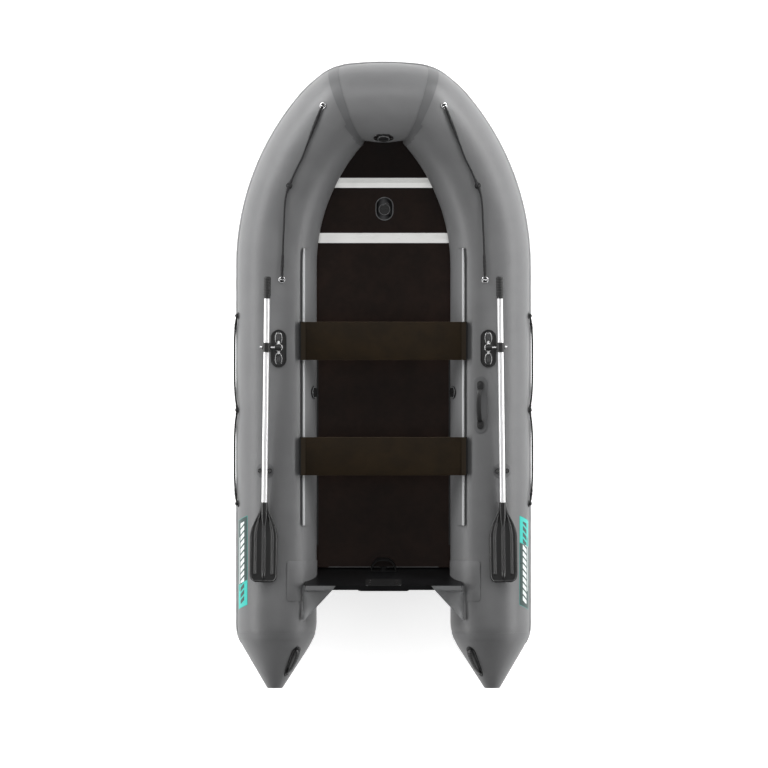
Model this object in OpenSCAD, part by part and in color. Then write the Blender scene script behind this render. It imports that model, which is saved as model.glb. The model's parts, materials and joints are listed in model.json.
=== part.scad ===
// Inflatable dinghy with a plywood floor, two benches on rails and a pair of oars.
// X runs to starboard, Y to the bow and Z up. The origin is on the ground at the plan's centre.
// Pieces whose names start with starboard_ are mirrored across X = 0 for the port side.

/* [Hull] */
// Overall length from the stern tips to the bow tube
hull_l = 3295; // [3000:5:3950]
// Beam over the air tubes
beam = 1544; // [1400:4:1860]
// Diameter of an inflated tube
tube_d = 420; // [360:5:460]
// Thickness of the coated fabric
skin = 1.2; // [0.9:0.1:2]
// Rise of the tubes from amidships to the bow
bow_rise = 200; // [120:5:240]
// Turn of each side tube before it meets the bow tube, in degrees
bow_turn = 46.3; // [40:0.1:52]
// Half length of the bow tube's centre line
bow_half = 187; // [160:1:220]
// Distance from the stern tips to the start of the cones
cone_l = 347; // [300:1:420]
// Radius of a cone's tip
tip_r = 40; // [34:1:50]
// Outward shift of a cone's tip
tip_out = 10; // [0:1:16]
// Thickness of the rub strake
strake_t = 7; // [5:0.5:9]

/* [Floor] */
// Thickness of the floor boards
floor_t = 12; // [9:0.5:15]
// Height of the floor's top face
floor_z = 105; // [95:1:120]
// Tilt of the board with the hatch, in degrees
tilt_1 = 5; // [3:0.5:7]
// Tilt of the bow board, in degrees
tilt_2 = 13; // [10:0.5:15]
// Width of a floor joiner
joiner_w = 53; // [44:1:64]
// Diameter of the inflatable keel
keel_d = 64; // [54:1:66]

/* [Transom] */
// Rake of the transom, in degrees
rake = 14; // [10:0.5:16]
// Thickness of the transom board
transom_t = 24; // [20:0.5:30]
// Height of the transom's top edge
transom_top = 436; // [400:1:460]
// Width of the transom at its top
transom_w = 824; // [780:2:840]

/* [Benches] */
// Depth of a bench board from front to back
bench_d = 200; // [170:5:240]
// Length of a bench board
bench_w = 868; // [850:2:880]
// Thickness of a bench board
bench_t = 14; // [12:0.5:18]
// Place of the forward bench's middle along the hull
bench_1_y = 180; // [100:5:260]
// Place of the aft bench's middle along the hull
bench_2_y = -425; // [-480:5:-380]

/* [Oars] */
// Overall length of an oar
oar_l = 1603; // [1400:1:1900]
// Outer diameter of an oar's shaft
shaft_d = 30; // [26:0.5:34]
// Width of a blade
blade_w = 148; // [125:1:178]
// Length of a blade
blade_l = 410; // [340:1:440]
// Diameter of the cross pin
pin_d = 10; // [8:0.5:12]
// Diameter of the swivel's post
post_d = 20; // [16:0.5:24]
// Height of the cross pin above the tubes' crown
pin_h = 55; // [50:1:66]

/* [Hidden] */

// Clearance between pieces that move on each other, and between pieces that only lie together
gap = 0.3;
fit = 0.05;

tube_r = tube_d / 2;
tube_x = beam / 2 - tube_r;
bow_y = hull_l / 2 - tube_r - strake_t;
stern_y = -hull_l / 2;
cone_y = stern_y + cone_l;
// The transom's inner face at the floor's height
transom_y = stern_y + 627;
// Lines across the hull where the floor's boards meet
floor_aft = transom_y + 4;
joint_aft = -425;
joint_mid = 155;
kink_1 = 725;
kink_2 = 1016;
floor_front = 1262;
// The hatch over the keel's valve
hatch_x = 5;
hatch_y = 879;
hatch_l = 120;
hatch_w = 90;
// A valve's sleeve and flange
valve_r = 27;
valve_rim = 33;

// The side tube's plan: straight, then an arc of bow_turn, then a short straight to the mitre
lead = 20;
mitre_x = bow_half;
arc_end_x = mitre_x + lead * sin(bow_turn);
arc_end_y = bow_y - lead * cos(bow_turn);
arc_r = (tube_x - arc_end_x) / (1 - cos(bow_turn));
curve_y = arc_end_y - arc_r * sin(bow_turn);
arc_l = arc_r * bow_turn * PI / 180;
path_l = arc_l + lead;
bow_z = tube_r + bow_rise;
// Number of sides of a faceted tube
sides = 48;
rings = 14;

function unit(v) = v / norm(v);
function turn_at(s) = min(s / arc_l, 1) * bow_turn;
function rise_at(s) = bow_rise * pow(max(s, 0) / path_l, 2);
// Centre of the starboard tube at the distance s along its curve
function centre(s) = s <= 0 ? [tube_x, curve_y + s, tube_r]
    : let(t = turn_at(s), extra = max(s - arc_l, 0))
      [tube_x - arc_r * (1 - cos(t)) - extra * sin(t), curve_y + arc_r * sin(t) + extra * cos(t),
       tube_r + rise_at(s)];
function slope(s) = atan(2 * bow_rise * max(s, 0) / path_l / path_l);
// Directions at s: along the tube, outwards and up
function along(s) = let(t = turn_at(max(s, 0)), e = slope(s)) [-sin(t) * cos(e), cos(t) * cos(e), sin(e)];
function outward(s) = let(t = turn_at(max(s, 0))) [cos(t), sin(t), 0];
function upward(s) = cross(outward(s), along(s));
// A point on the tube: a is the angle above the outer side, r the distance from the centre line
function skin_point(s, a, r) = centre(s) + r * (cos(a) * outward(s) + sin(a) * upward(s));
function ring(s, r) = [for (i = [0 : sides - 1]) skin_point(s, i * 360 / sides, r)];
// The end of the side tube in the mitre plane
mitre_d = along(path_l);
mitre_n = unit(mitre_d + [-1, 0, 0]);
function to_mitre(p) = p + mitre_d * ((([mitre_x, bow_y, bow_z] - p) * mitre_n) / (mitre_d * mitre_n));
function mitre_ring(r) = [for (p = ring(path_l, r)) to_mitre(p)];
// The arc's rings stop short of the mitre plane's inner side
last_s = path_l - tube_r * tan(acos(mitre_d * [-1, 0, 0]) / 2) - 12;
function curve_rings(r) = concat([for (k = [0 : rings]) ring(last_s * k / rings, r)], [mitre_ring(r)]);

// An open pipe between an outer and an inner list of rings
module pipe(outer, inner) {
    n = len(outer[0]);
    m = len(outer);
    function at(k, i) = k * n + i % n;
    base = m * n;
    polyhedron(
        points = [for (rows = [outer, inner]) for (row = rows) for (p = row) p],
        faces = concat(
            [for (k = [0 : m - 2]) for (i = [0 : n - 1]) for (f =
                [[at(k, i), at(k + 1, i + 1), at(k + 1, i)],
                 [at(k, i), at(k, i + 1), at(k + 1, i + 1)]]) f],
            [for (k = [0 : m - 2]) for (i = [0 : n - 1]) for (f =
                [[at(k, i), at(k + 1, i), at(k + 1, i + 1)], [at(k, i), at(k + 1, i + 1), at(k, i + 1)]])
                [for (v = f) v + base]],
            [for (i = [0 : n - 1]) for (f = [[at(0, i), base + at(0, i + 1), at(0, i + 1)],
                [at(0, i), base + at(0, i), base + at(0, i + 1)]]) f],
            [for (i = [0 : n - 1]) for (f = [[at(m - 1, i), at(m - 1, i + 1), base + at(m - 1, i + 1)],
                [at(m - 1, i), base + at(m - 1, i + 1), base + at(m - 1, i)]]) f]));
}

// A closed solid swept through a list of equal rings
module sweep(rows) {
    n = len(rows[0]);
    m = len(rows);
    polyhedron(
        points = [for (row = rows) for (p = row) p],
        faces = concat(
            [[for (i = [n - 1 : -1 : 0]) i]],
            [for (k = [0 : m - 2]) for (i = [0 : n - 1]) for (f =
                [[k * n + i, (k + 1) * n + (i + 1) % n, (k + 1) * n + i],
                 [k * n + i, k * n + (i + 1) % n, (k + 1) * n + (i + 1) % n]]) f],
            [[for (i = [0 : n - 1]) (m - 1) * n + i]]));
}

// A sheet of the given thickness below a grid of points
module sheet(grid, t) {
    sweep([for (row = grid) concat(row, [for (i = [len(row) - 1 : -1 : 0]) row[i] - [0, 0, t]])]);
}

module both_sides() {
    children();
    mirror([1, 0, 0]) children();
}

module stadium(l, w, h) {
    linear_extrude(h) {
        square([l - w, w], center = true);
        translate([(l - w) / 2, 0]) circle(d = w, $fn = 48);
        translate([-(l - w) / 2, 0]) circle(d = w, $fn = 48);
    }
}

// A cylinder along Y
module rod_y(r, from, to, fn = 96) {
    translate([0, from, 0]) rotate([-90, 0, 0]) cylinder(r = r, h = to - from, $fn = fn);
}

// A curved patch on the straight tube between two angles above the outer side
module tube_patch(a0, a1, y0, y1, t) {
    translate([tube_x, y1, tube_r]) rotate([90, 0, 0]) rotate(a0)
        linear_extrude(y1 - y0) sector(tube_r + fit, tube_r + t, a1 - a0);
}

module sector(r0, r1, a) {
    far = 2 * r1;
    intersection() {
        difference() {
            circle(r = r1, $fn = 180);
            circle(r = r0, $fn = 180);
        }
        polygon(concat([[0, 0]], [for (k = [0 : 4]) far * [cos(a * k / 4), sin(a * k / 4)]]));
    }
}

// The straight tube's outside, for cutting pieces that lie against it
module side_tube_space(r) {
    translate([tube_x, 0, tube_r]) rod_y(r, cone_y - 1, curve_y + 1, 180);
}

// Moves a piece modelled at the origin, Z outwards and Y forwards, onto the straight tube
module on_tube(y, a, lift = 0) {
    translate([tube_x, y, tube_r]) rotate([0, 90 - a, 0]) translate([0, 0, tube_r + lift]) children();
}

// ---- Air tubes ----
module side_tube() {
    color([0.42, 0.43, 0.44]) difference() {
        translate([tube_x, 0, tube_r]) rod_y(tube_r, cone_y, curve_y, 180);
        translate([tube_x, 0, tube_r]) rod_y(tube_r - skin, cone_y - 1, curve_y + 1, 180);
        side_valve_place() translate([0, 0, -9]) cylinder(r = valve_r + fit, h = 20, $fn = 64);
    }
}

module bow_quarter() {
    color([0.42, 0.43, 0.44]) pipe(curve_rings(tube_r), curve_rings(tube_r - skin));
}

function flipped(rows) = [for (p = rows) [-p[0], p[1], p[2]]];
module bow_tube() {
    color([0.42, 0.43, 0.44]) difference() {
        pipe([mitre_ring(tube_r), flipped(mitre_ring(tube_r))],
             [mitre_ring(tube_r - skin), flipped(mitre_ring(tube_r - skin))]);
        bow_valve_place() translate([0, 0, -9]) cylinder(r = valve_r + fit, h = 20, $fn = 64);
    }
}

// Radius of a stern cone at the distance d aft of its start: a rounded shoulder, then straight
shoulder_l = 0.40 * cone_l;
cone_slope = (tube_r - tip_r) / (cone_l - shoulder_l / 2);
function cone_r(d) = d < shoulder_l ? tube_r - cone_slope * d * d / (2 * shoulder_l)
    : tube_r - cone_slope * (d - shoulder_l / 2);
function cone_ring(d, inset) = [for (i = [0 : sides - 1]) let(a = i * 360 / sides, r = cone_r(d) - inset)
    [tube_x + tip_out * d / cone_l + r * cos(a), cone_y - d, tube_r + r * sin(a)]];
tip_t = 3;
cone_steps = concat([for (k = [0 : 6]) shoulder_l * k / 6],
    [for (k = [1 : 4]) shoulder_l + (cone_l - tip_t - shoulder_l) * k / 4]);
function turned_over(row) = [for (i = [len(row) - 1 : -1 : 0]) row[i]];
function cone_rings(inset) = [for (d = cone_steps) turned_over(cone_ring(d, inset))];
module stern_cone() {
    color([0.42, 0.43, 0.44]) pipe(cone_rings(0), cone_rings(skin));
}

module cone_tips() {
    color([0.36, 0.37, 0.38]) both_sides() translate([tube_x + tip_out, stern_y + tip_t, tube_r])
        rotate([90, 0, 0]) rotate_extrude($fn = 64)
            polygon([[0, 0], [tip_r - 0.2, 0], [tip_r - 0.6, 1.8], [tip_r - 3, tip_t], [0, tip_t]]);
}

baffle_h = 118;
module chamber_baffles() {
    inner_r = tube_r - skin - fit;
    color([0.6, 0.6, 0.58]) both_sides() translate([tube_x, curve_y - 20, tube_r]) rotate([90, 0, 0])
        rotate_extrude($fn = 96)
            polygon([[0, baffle_h], [0, baffle_h + skin], [inner_r, skin], [inner_r, 0]]);
}

// ---- Bottom ----
// The bottom skin meets each tube at this angle below its inner side: amidships and at the bow
seam_a = 50;
seam_bow_a = 64;
keel_drop = 44;
function seam_angle(s) = 180 + seam_a + (seam_bow_a - seam_a) * max(s, 0) / path_l;
function seam_at(s) = skin_point(s, seam_angle(s), tube_r + 0.6);
function bottom_row(p) = [for (u = [1, 0.5, 0, -0.5, -1])
    [p[0] * u, p[1], p[2] - keel_drop * (1 - abs(u))]];
bottom_aft_y = transom_y - 35;
bottom_ss = concat([bottom_aft_y - curve_y, (bottom_aft_y - curve_y) / 2],
    [for (k = [0 : 12]) last_s * k / 12]);
bottom_end = to_mitre(seam_at(path_l));
module bottom_skin() {
    color([0.3, 0.31, 0.32]) sheet(concat([for (s = bottom_ss) bottom_row(seam_at(s))],
        [bottom_row(bottom_end + [0, 0, -0.8])]), skin);
}

function bottom_z(x) = let(p = seam_at(0)) p[2] - keel_drop * (1 - abs(x) / p[0]);
// The keel runs level under the long boards and then rises with the boards at the bow
keel_aft = transom_y + 80;
keel_bend = kink_1;
keel_tilt = 4.6;
keel_fore_l = 260;
keel_z = floor_z - floor_t - gap - 3 - keel_d / 2;
module on_fore_keel(l) {
    translate([0, keel_bend, keel_z]) rotate([keel_tilt, 0, 0]) translate([0, l, 0]) children();
}
module air_keel() {
    color([0.33, 0.34, 0.35]) difference() {
        keel_shape(keel_d / 2);
        keel_shape(keel_d / 2 - skin);
        keel_valve_place() translate([0, 0, -keel_d / 4])
            cylinder(r = valve_r + fit, h = keel_d / 2, $fn = 64);
    }
}
module keel_shape(r) {
    translate([0, 0, keel_z]) rod_y(r, keel_aft, keel_bend, 64);
    translate([0, keel_aft, keel_z]) sphere(r = r, $fn = 64);
    on_fore_keel(0) rod_y(r, 0, keel_fore_l, 64);
    on_fore_keel(0) sphere(r = r, $fn = 64);
    on_fore_keel(keel_fore_l) sphere(r = r, $fn = 64);
}

// ---- Rub strakes ----
strake_a = 7.5;
strake_lie = 0.5;
// Section of the strake: share of its half angle, height above the tube
strake_section = [[-1, strake_lie], [-0.7, strake_t - 1], [0, strake_t],
    [0.7, strake_t - 1], [1, strake_lie], [0, strake_lie]];
function strake_ring(s) = [for (q = strake_section) skin_point(s, q[0] * strake_a, tube_r + q[1])];
function cone_strake_ring(d) = [for (q = strake_section) let(a = q[0] * strake_a, r = cone_r(d) + q[1])
    [tube_x + tip_out * d / cone_l + r * cos(a), cone_y - d, tube_r + r * sin(a)]];
module rub_strakes() {
    side = concat([for (k = [5 : -1 : 1]) cone_strake_ring(shoulder_l * k / 6)],
        [strake_ring(cone_y - curve_y)],
        [for (k = [0 : rings]) strake_ring(last_s * k / rings)],
        [[for (p = strake_ring(path_l)) to_mitre(p)]]);
    color([0.5, 0.51, 0.52])
        sweep(concat(side, [for (i = [len(side) - 1 : -1 : 0]) flipped(side[i])]));
}

// ---- Floor ----
web_t = 4;
// Top of the floor at y
function floor_top(y) = y < kink_1 ? floor_z
    : y < kink_2 ? floor_z + (y - kink_1) * tan(tilt_1)
    : floor_z + (kink_2 - kink_1) * tan(tilt_1) + (y - kink_2) * tan(tilt_2);
side_room = 6;
// A point of the floor's edge: where the floor's height meets the tube at s, less side_room
function edge_near(s, y) = let(c = centre(s), o = outward(s), h = (c[2] - floor_top(y)) * cos(slope(s)),
    chord = sqrt(max(pow(tube_r, 2) - h * h, 100)) + side_room) [c[0] - chord * o[0], c[1] - chord * o[1]];
function edge_at(s) = let(y = edge_near(s, centre(s)[1] - 0.85 * tube_r * outward(s)[1])[1])
    edge_near(s, edge_near(s, y)[1]);
edge_points = [for (k = [0 : 24]) edge_at(last_s * k / 24)];
// The floor's outline from y0 to y1
module floor_plan(y0, y1) {
    w = edge_at(0)[0];
    outline = concat([[w, floor_aft]], edge_points);
    intersection() {
        polygon(concat(outline, [for (i = [len(outline) - 1 : -1 : 0]) [-outline[i][0], outline[i][1]]]));
        translate([-w - 1, y0]) square([2 * w + 2, y1 - y0]);
    }
}
// A board from y0 to y1 whose top face starts at height z and tilts by t
module board(y0, y1, z, t) {
    translate([0, y0, z]) rotate([t, 0, 0]) translate([0, -y0, -floor_t])
        linear_extrude(floor_t) floor_plan(y0 + web_t / 2 + gap, y1 - web_t / 2 - gap);
}
kink_2_z = floor_top(kink_2);
module bow_floor_board() {
    color([0.16, 0.11, 0.09]) board(kink_2, floor_front, kink_2_z, tilt_2);
}
module hatch_floor_board() {
    color([0.16, 0.11, 0.09]) difference() {
        board(kink_1, kink_2, floor_z, tilt_1);
        translate([hatch_x, hatch_y, floor_z - 60]) rotate(90) stadium(hatch_l, hatch_w, 160);
    }
}
module forward_floor_board() {
    color([0.16, 0.11, 0.09]) board(joint_mid, kink_1, floor_z, 0);
}
module middle_floor_board() {
    color([0.16, 0.11, 0.09]) board(joint_aft, joint_mid, floor_z, 0);
}
module aft_floor_board() {
    color([0.16, 0.11, 0.09]) board(floor_aft, joint_aft, floor_z, 0);
}

flange_t = 2.5;
joiner_h = floor_t + 2 * flange_t + 2 * fit;
ridge_w = 4;
ridge_t = 0.9;
// Half of a joiner's section, on the side of the board that leaves it at the tilt t
module joiner_half(t) {
    rotate(t) {
        for (z = [fit, -floor_t - fit - flange_t])
            translate([-1, z]) square([joiner_w / 2 + 1, flange_t]);
        for (k = [-1, 1])
            translate([joiner_w / 4 + 1.5 * k * ridge_w, fit + flange_t - 0.1]) square([ridge_w, ridge_t]);
    }
}
// A joiner across the hull: flanges above and below the boards, joined by a web between them
module joiner(y, z, l, t_aft, t_fore) {
    translate([-l / 2, y, z]) rotate([90, 0, 90]) linear_extrude(l) {
        joiner_half(t_fore);
        mirror([1, 0]) joiner_half(-t_aft);
        translate([-web_t / 2, -floor_t - fit - flange_t + 0.3]) square([web_t, joiner_h - 0.6]);
    }
}
function edge_x_at(y) = lookup(y,
    [for (p = concat([[edge_at(0)[0], floor_aft]], edge_points)) [p[1], p[0]]]);
function joiner_l(y) = 2 * edge_x_at(y + joiner_w / 2) - 16;
module floor_joiners() {
    full = joiner_l(joint_aft);
    color([0.8, 0.8, 0.79]) {
        joiner(joint_aft, floor_z, full, 0, 0);
        joiner(joint_mid, floor_z, full, 0, 0);
        joiner(kink_1, floor_z, joiner_l(kink_1), 0, tilt_1);
        joiner(kink_2, kink_2_z, joiner_l(kink_2), tilt_1, tilt_2);
    }
}

// An aluminium channel over the seams of the long boards at each side
stringer_t = 2;
stringer_w = 30;
// Room between a stringer and the nearest joiner or transom
stringer_room = 60;
module side_stringers() {
    color([0.78, 0.78, 0.78]) both_sides() {
        stringer(floor_aft + 2 * stringer_room, joint_aft - stringer_room);
        stringer(joint_aft + stringer_room, joint_mid - stringer_room);
    }
}
module stringer(y0, y1) {
    l = y1 - y0;
    flange = [stringer_w + gap + stringer_t, l, stringer_t];
    translate([edge_at(0)[0], y0, floor_z - floor_t]) {
        translate([-stringer_w, 0, floor_t + fit]) cube(flange);
        translate([-stringer_w, 0, -stringer_t - fit]) cube(flange);
        translate([gap, 0, -stringer_t - fit])
            cube([stringer_t, l, floor_t + 2 * stringer_t + 2 * fit]);
    }
}

// ---- Transom ----
module on_transom(h) {
    translate([0, transom_y, floor_z]) rotate([rake, 0, 0]) translate([0, 0, h]) children();
}
transom_h = (transom_top - floor_z) / cos(rake);
function along_transom(z) = (z - floor_z) / cos(rake);
// A rounded corner at x, y: points from its right side to its top
function round_corner(x, y, r) = [for (k = [0 : 5]) [x - r + r * cos(k * 18), y - r + r * sin(k * 18)]];
module transom_shape(grow) {
    half = transom_w / 2 + grow;
    foot = [for (x = [-half, 0, half]) [x, along_transom(bottom_z(x) + 8) - grow]];
    top = transom_h + grow;
    corner = round_corner(half, top, 22);
    on_transom(0) translate([0, grow, 0]) rotate([90, 0, 0]) linear_extrude(transom_t + 2 * grow)
        polygon(concat(foot, corner, [for (i = [len(corner) - 1 : -1 : 0]) [-corner[i][0], corner[i][1]]]));
}
module transom_board() {
    color([0.09, 0.09, 0.1]) difference() {
        transom_shape(0);
        both_sides() side_tube_space(tube_r + gap);
        drain_bore();
        pad_bolt_places() rod_y(bolt_r + fit, -transom_t - 20, 20, 32);
    }
}
// The pads stand proud of the board's top edge
pad_lift = 4;
pad_round = 18;
pad_t = 5;
outer_pad_w = 266;
outer_pad_h = 170;
inner_pad_w = 190;
inner_pad_h = 120;
bolt_r = 4;
bolt_x = 70;
bolt_h = [30, 80];
module pad_bolt_places() {
    for (x = [-bolt_x, bolt_x]) for (h = bolt_h)
        on_transom(transom_h - h) translate([x, 0, 0]) children();
}
head_r = 8;
head_t = 2.2;
module bolt_spots(h) {
    for (x = [-bolt_x, bolt_x]) for (y = bolt_h) translate([x, h / 2 - y - pad_lift]) children();
}
// A plate with round corners; its show face, with the sunk bolt heads, is at the height face
module motor_pad(w, h, r, face) {
    difference() {
        linear_extrude(pad_t) {
            square([w - 2 * r, h], center = true);
            square([w, h - 2 * r], center = true);
            for (x = [-1, 1]) for (y = [-1, 1])
                translate([x * (w / 2 - r), y * (h / 2 - r)]) circle(r = r, $fn = 48);
        }
        bolt_spots(h) translate([0, 0, -1]) cylinder(r = bolt_r + fit, h = pad_t + 2, $fn = 32);
        bolt_spots(h) translate([0, 0, face - pad_t / 2]) cylinder(r = head_r + fit, h = pad_t, $fn = 48);
    }
}
module outer_motor_pad() {
    color([0.07, 0.07, 0.07]) on_transom(transom_h + pad_lift - outer_pad_h / 2)
        translate([0, -transom_t, 0]) rotate([90, 0, 0])
            motor_pad(outer_pad_w, outer_pad_h, pad_round, pad_t);
}
module inner_motor_pad() {
    color([0.07, 0.07, 0.07]) on_transom(transom_h + pad_lift - inner_pad_h / 2)
        translate([0, pad_t, 0]) rotate([90, 0, 0]) motor_pad(inner_pad_w, inner_pad_h, pad_round, 0);
}
module pad_bolts() {
    color([0.8, 0.8, 0.82]) pad_bolt_places() {
        rod_y(bolt_r, -transom_t - pad_t / 2, pad_t / 2, 32);
        rod_y(head_r, pad_t / 2, pad_t / 2 + head_t, 48);
        rod_y(head_r, -transom_t - pad_t / 2 - head_t, -transom_t - pad_t / 2, 48);
    }
}
holder_t = 3;
module transom_holders() {
    color([0.4, 0.41, 0.42]) both_sides() difference() {
        tube_patch(105, 205, transom_y - 165, transom_y + 45, holder_t);
        transom_shape(gap);
    }
}
gusset_t = 3;
gusset_l = 159;
gusset_fall = 20.4;
// Distance of the gusset's seat on the tube from the tube's centre line
gusset_reach = 141;
// Its inner edge from the transom aft
gusset_in = [253, 262, 302, 338];
// A sheet from the transom's aft top edge down to the tube's crown
module transom_gussets() {
    y0 = transom_y - transom_h * sin(rake) - transom_t * cos(rake) - 1.3;
    z0 = transom_top - transom_t * sin(rake) + gusset_t + 0.3;
    seat_x = tube_x - gusset_reach;
    seat_z = tube_r + sqrt(pow(tube_r, 2) - pow(gusset_reach, 2)) + gusset_t + 4.5;
    function height(k) = z0 - gusset_l * k / 3 * tan(gusset_fall);
    color([0.45, 0.46, 0.47]) both_sides() difference() {
        sheet([for (k = [0 : 3]) let(y = y0 - gusset_l * k / 3, z = height(k))
            [[gusset_in[k], y, z], [seat_x - 16, y, z], [seat_x, y, min(z, seat_z)]]], gusset_t);
        side_tube_space(tube_r + holder_t + 0.1);
    }
}

drain_h = 28;
drain_r = 22;
module drain_bore() {
    on_transom(drain_h) rod_y(drain_r + fit, -transom_t - 20, 20, 64);
}
housing_w = 134;
housing_d = 62;
guard_t = 6;
// The drain's sleeve and flange, inside a moulded half-round guard at the transom's foot
module drain_housing() {
    color([0.06, 0.06, 0.06]) on_transom(drain_h) {
        difference() {
            union() {
                rod_y(drain_r, -transom_t - 4, 0, 64);
                rod_y(drain_r + 5, 0, 6, 64);
                translate([0, 0, -22]) linear_extrude(50) {
                    difference() {
                        guard_plan(0);
                        guard_plan(guard_t);
                    }
                    translate([-housing_w / 2 + 1, 0]) square([housing_w - 2, guard_t / 2]);
                }
            }
            rod_y(15, -transom_t - 10, 20, 64);
        }
    }
}
module guard_plan(inset) {
    intersection() {
        circle(r = housing_w / 2 - inset, $fn = 96);
        translate([-housing_w / 2, -inset]) square([housing_w, housing_d]);
    }
}
module drain_cap() {
    color([0.1, 0.1, 0.1]) on_transom(drain_h) {
        rod_y(14.7, -6, 6 + gap, 64);
        rod_y(19, 6 + gap, 13, 64);
        translate([-15, 13, -2.5]) cube([30, 6, 5]);
    }
}

// ---- Benches and their rails ----
track_x = 141;
track_a = acos(-track_x / tube_r);
track_aft = -789;
fin_t = 4;
fin_top = 384;
fin_x = tube_x - track_x;
bench_z = fin_top + 4;
bead_r = 4;
bead_z = fin_top - 3;
track_in_a = acos(-(tube_x - 385) / tube_r);
// A rail's section about the tube's centre line: flange, fin and bead
function track_section() = let(a0 = track_a, a1 = track_in_a, r = tube_r, n = 3)
    concat([for (k = [0 : n]) let(a = a1 + (a0 - a1) * k / n) (r + 0.4) * [cos(a), sin(a)]],
        [[fin_t / 2 - track_x, r * sin(a0) + 2]],
        [for (k = [-2 : 8]) [-track_x, bead_z - r] + bead_r * [cos(k * 30), sin(k * 30)]],
        [[-fin_t / 2 - track_x, r * sin(a0) + 3]],
        [for (k = [1 : n]) let(a = a0 + (a1 - a0) * k / n) (r + 2) * [cos(a), sin(a)]]);
function track_ring(s) = [for (q = track_section()) centre(s) + q[0] * outward(s) + q[1] * upward(s)];
module seat_tracks() {
    color([0.75, 0.76, 0.77]) both_sides()
        sweep([for (s = [track_aft - curve_y, 0, 30, 60, 90, 115]) track_ring(s)]);
}
module bench(y) {
    r = 8;
    color([0.2, 0.15, 0.09]) translate([0, y, bench_z]) linear_extrude(bench_t) {
        square([bench_w - 2 * r, bench_d], center = true);
        square([bench_w, bench_d - 2 * r], center = true);
        for (sx = [-1, 1]) for (sy = [-1, 1])
            translate([sx * (bench_w / 2 - r), sy * (bench_d / 2 - r)]) circle(r = r, $fn = 32);
    }
}
// A clip profile under each end that hooks round the rail's bead, and a strip over the board's end
module bench_slides(y) {
    lip = 3;
    bead = bead_r + gap;
    color([0.1, 0.1, 0.1]) both_sides() {
        difference() {
            translate([fin_x - bead - lip, y - bench_d / 2, bead_z - bead - lip + 1])
                cube([2 * (bead + lip), bench_d, bench_z - fin_top + 2 + bead + lip]);
            translate([fin_x, y - bench_d / 2 - 1, bead_z]) rod_y(bead, 0, bench_d + 2, 32);
            translate([fin_x - fin_t / 2 - gap, y - bench_d / 2 - 1, fin_top - 30])
                cube([fin_t + 2 * gap, bench_d + 2, 30]);
        }
        translate([fin_x - 12, y - bench_d / 2, bench_z + bench_t]) cube([30, bench_d, 2]);
        translate([bench_w / 2, y - bench_d / 2, bench_z - lip])
            cube([fin_x + 18 - bench_w / 2, bench_d, bench_t + lip]);
        translate([fin_x + bead, y - bench_d / 2, bench_z - lip]) cube([bench_w / 2 - fin_x, bench_d, lip]);
    }
}

// ---- Oarlocks and oars ----
lock_y = 140;
lock_x = tube_x - 12;
pin_y = lock_y + 5;
pin_z = tube_d + pin_h;
post_reach = 63;
stow_a = 0.8;
stow_down = 2.0;
base_l = 198;
base_w = 84;
base_top = tube_d + 8;
boss_r = 21;
boss_top = base_top + 14;
// How far the base's sides reach down round the tube, and where its two lobes lie
base_skirt = 16;
lobe_at = 55;
lobe_r = 38;
module oarlock_base() {
    color([0.05, 0.05, 0.05]) difference() {
        union() {
            translate([lock_x, lock_y, tube_d - base_skirt]) rotate(90)
                stadium(base_l, base_w, base_top - tube_d + base_skirt);
            for (k = [-1, 1]) translate([lock_x, lock_y + k * lobe_at, base_top - 24]) intersection() {
                sphere(r = lobe_r, $fn = 64);
                translate([-32, -36, 20]) cube([64, 72, 30]);
            }
            translate([lock_x, pin_y, base_top - 6])
                cylinder(r = boss_r, h = boss_top - base_top + 6, $fn = 64);
        }
        side_tube_space(tube_r + fit);
        translate([lock_x, pin_y, base_top - 5]) cylinder(r = post_d / 2 + fit, h = 80, $fn = 64);
    }
}
// Everything that turns with the swivel is modelled along Y and turned by the stowed angle
module on_swivel() {
    translate([lock_x, pin_y, 0]) rotate([0, 0, stow_a]) children();
}
module swivel() {
    head_h = 30;
    color([0.05, 0.05, 0.05]) on_swivel() difference() {
        union() {
            translate([0, 0, base_top - 4]) cylinder(r = post_d / 2, h = pin_z - base_top + 4, $fn = 64);
            translate([0, 0, boss_top + gap])
                cylinder(r = boss_r - 3, h = pin_z - head_h / 2 - boss_top, $fn = 64);
            translate([-15, 0, pin_z]) rotate([0, 90, 0]) cylinder(r = head_h / 2 + 2, h = 34, $fn = 64);
        }
        translate([-20, 0, pin_z]) rotate([0, 90, 0]) cylinder(r = pin_d / 2 + fit, h = 60, $fn = 64);
    }
}
collar_w = 49;
collar_r = shaft_d / 2 + 7;
module cross_pin() {
    nut_x = post_reach + collar_r + 1;
    color([0.55, 0.55, 0.56]) on_swivel() translate([0, 0, pin_z]) rotate([0, 90, 0]) {
        translate([0, 0, -15 - 5]) cylinder(r = pin_d / 2 + 3, h = 5, $fn = 6);
        translate([0, 0, -15]) cylinder(r = pin_d / 2, h = nut_x + 15, $fn = 64);
        translate([0, 0, nut_x]) cylinder(r = 11, h = 12, $fn = 48);
    }
}
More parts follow.
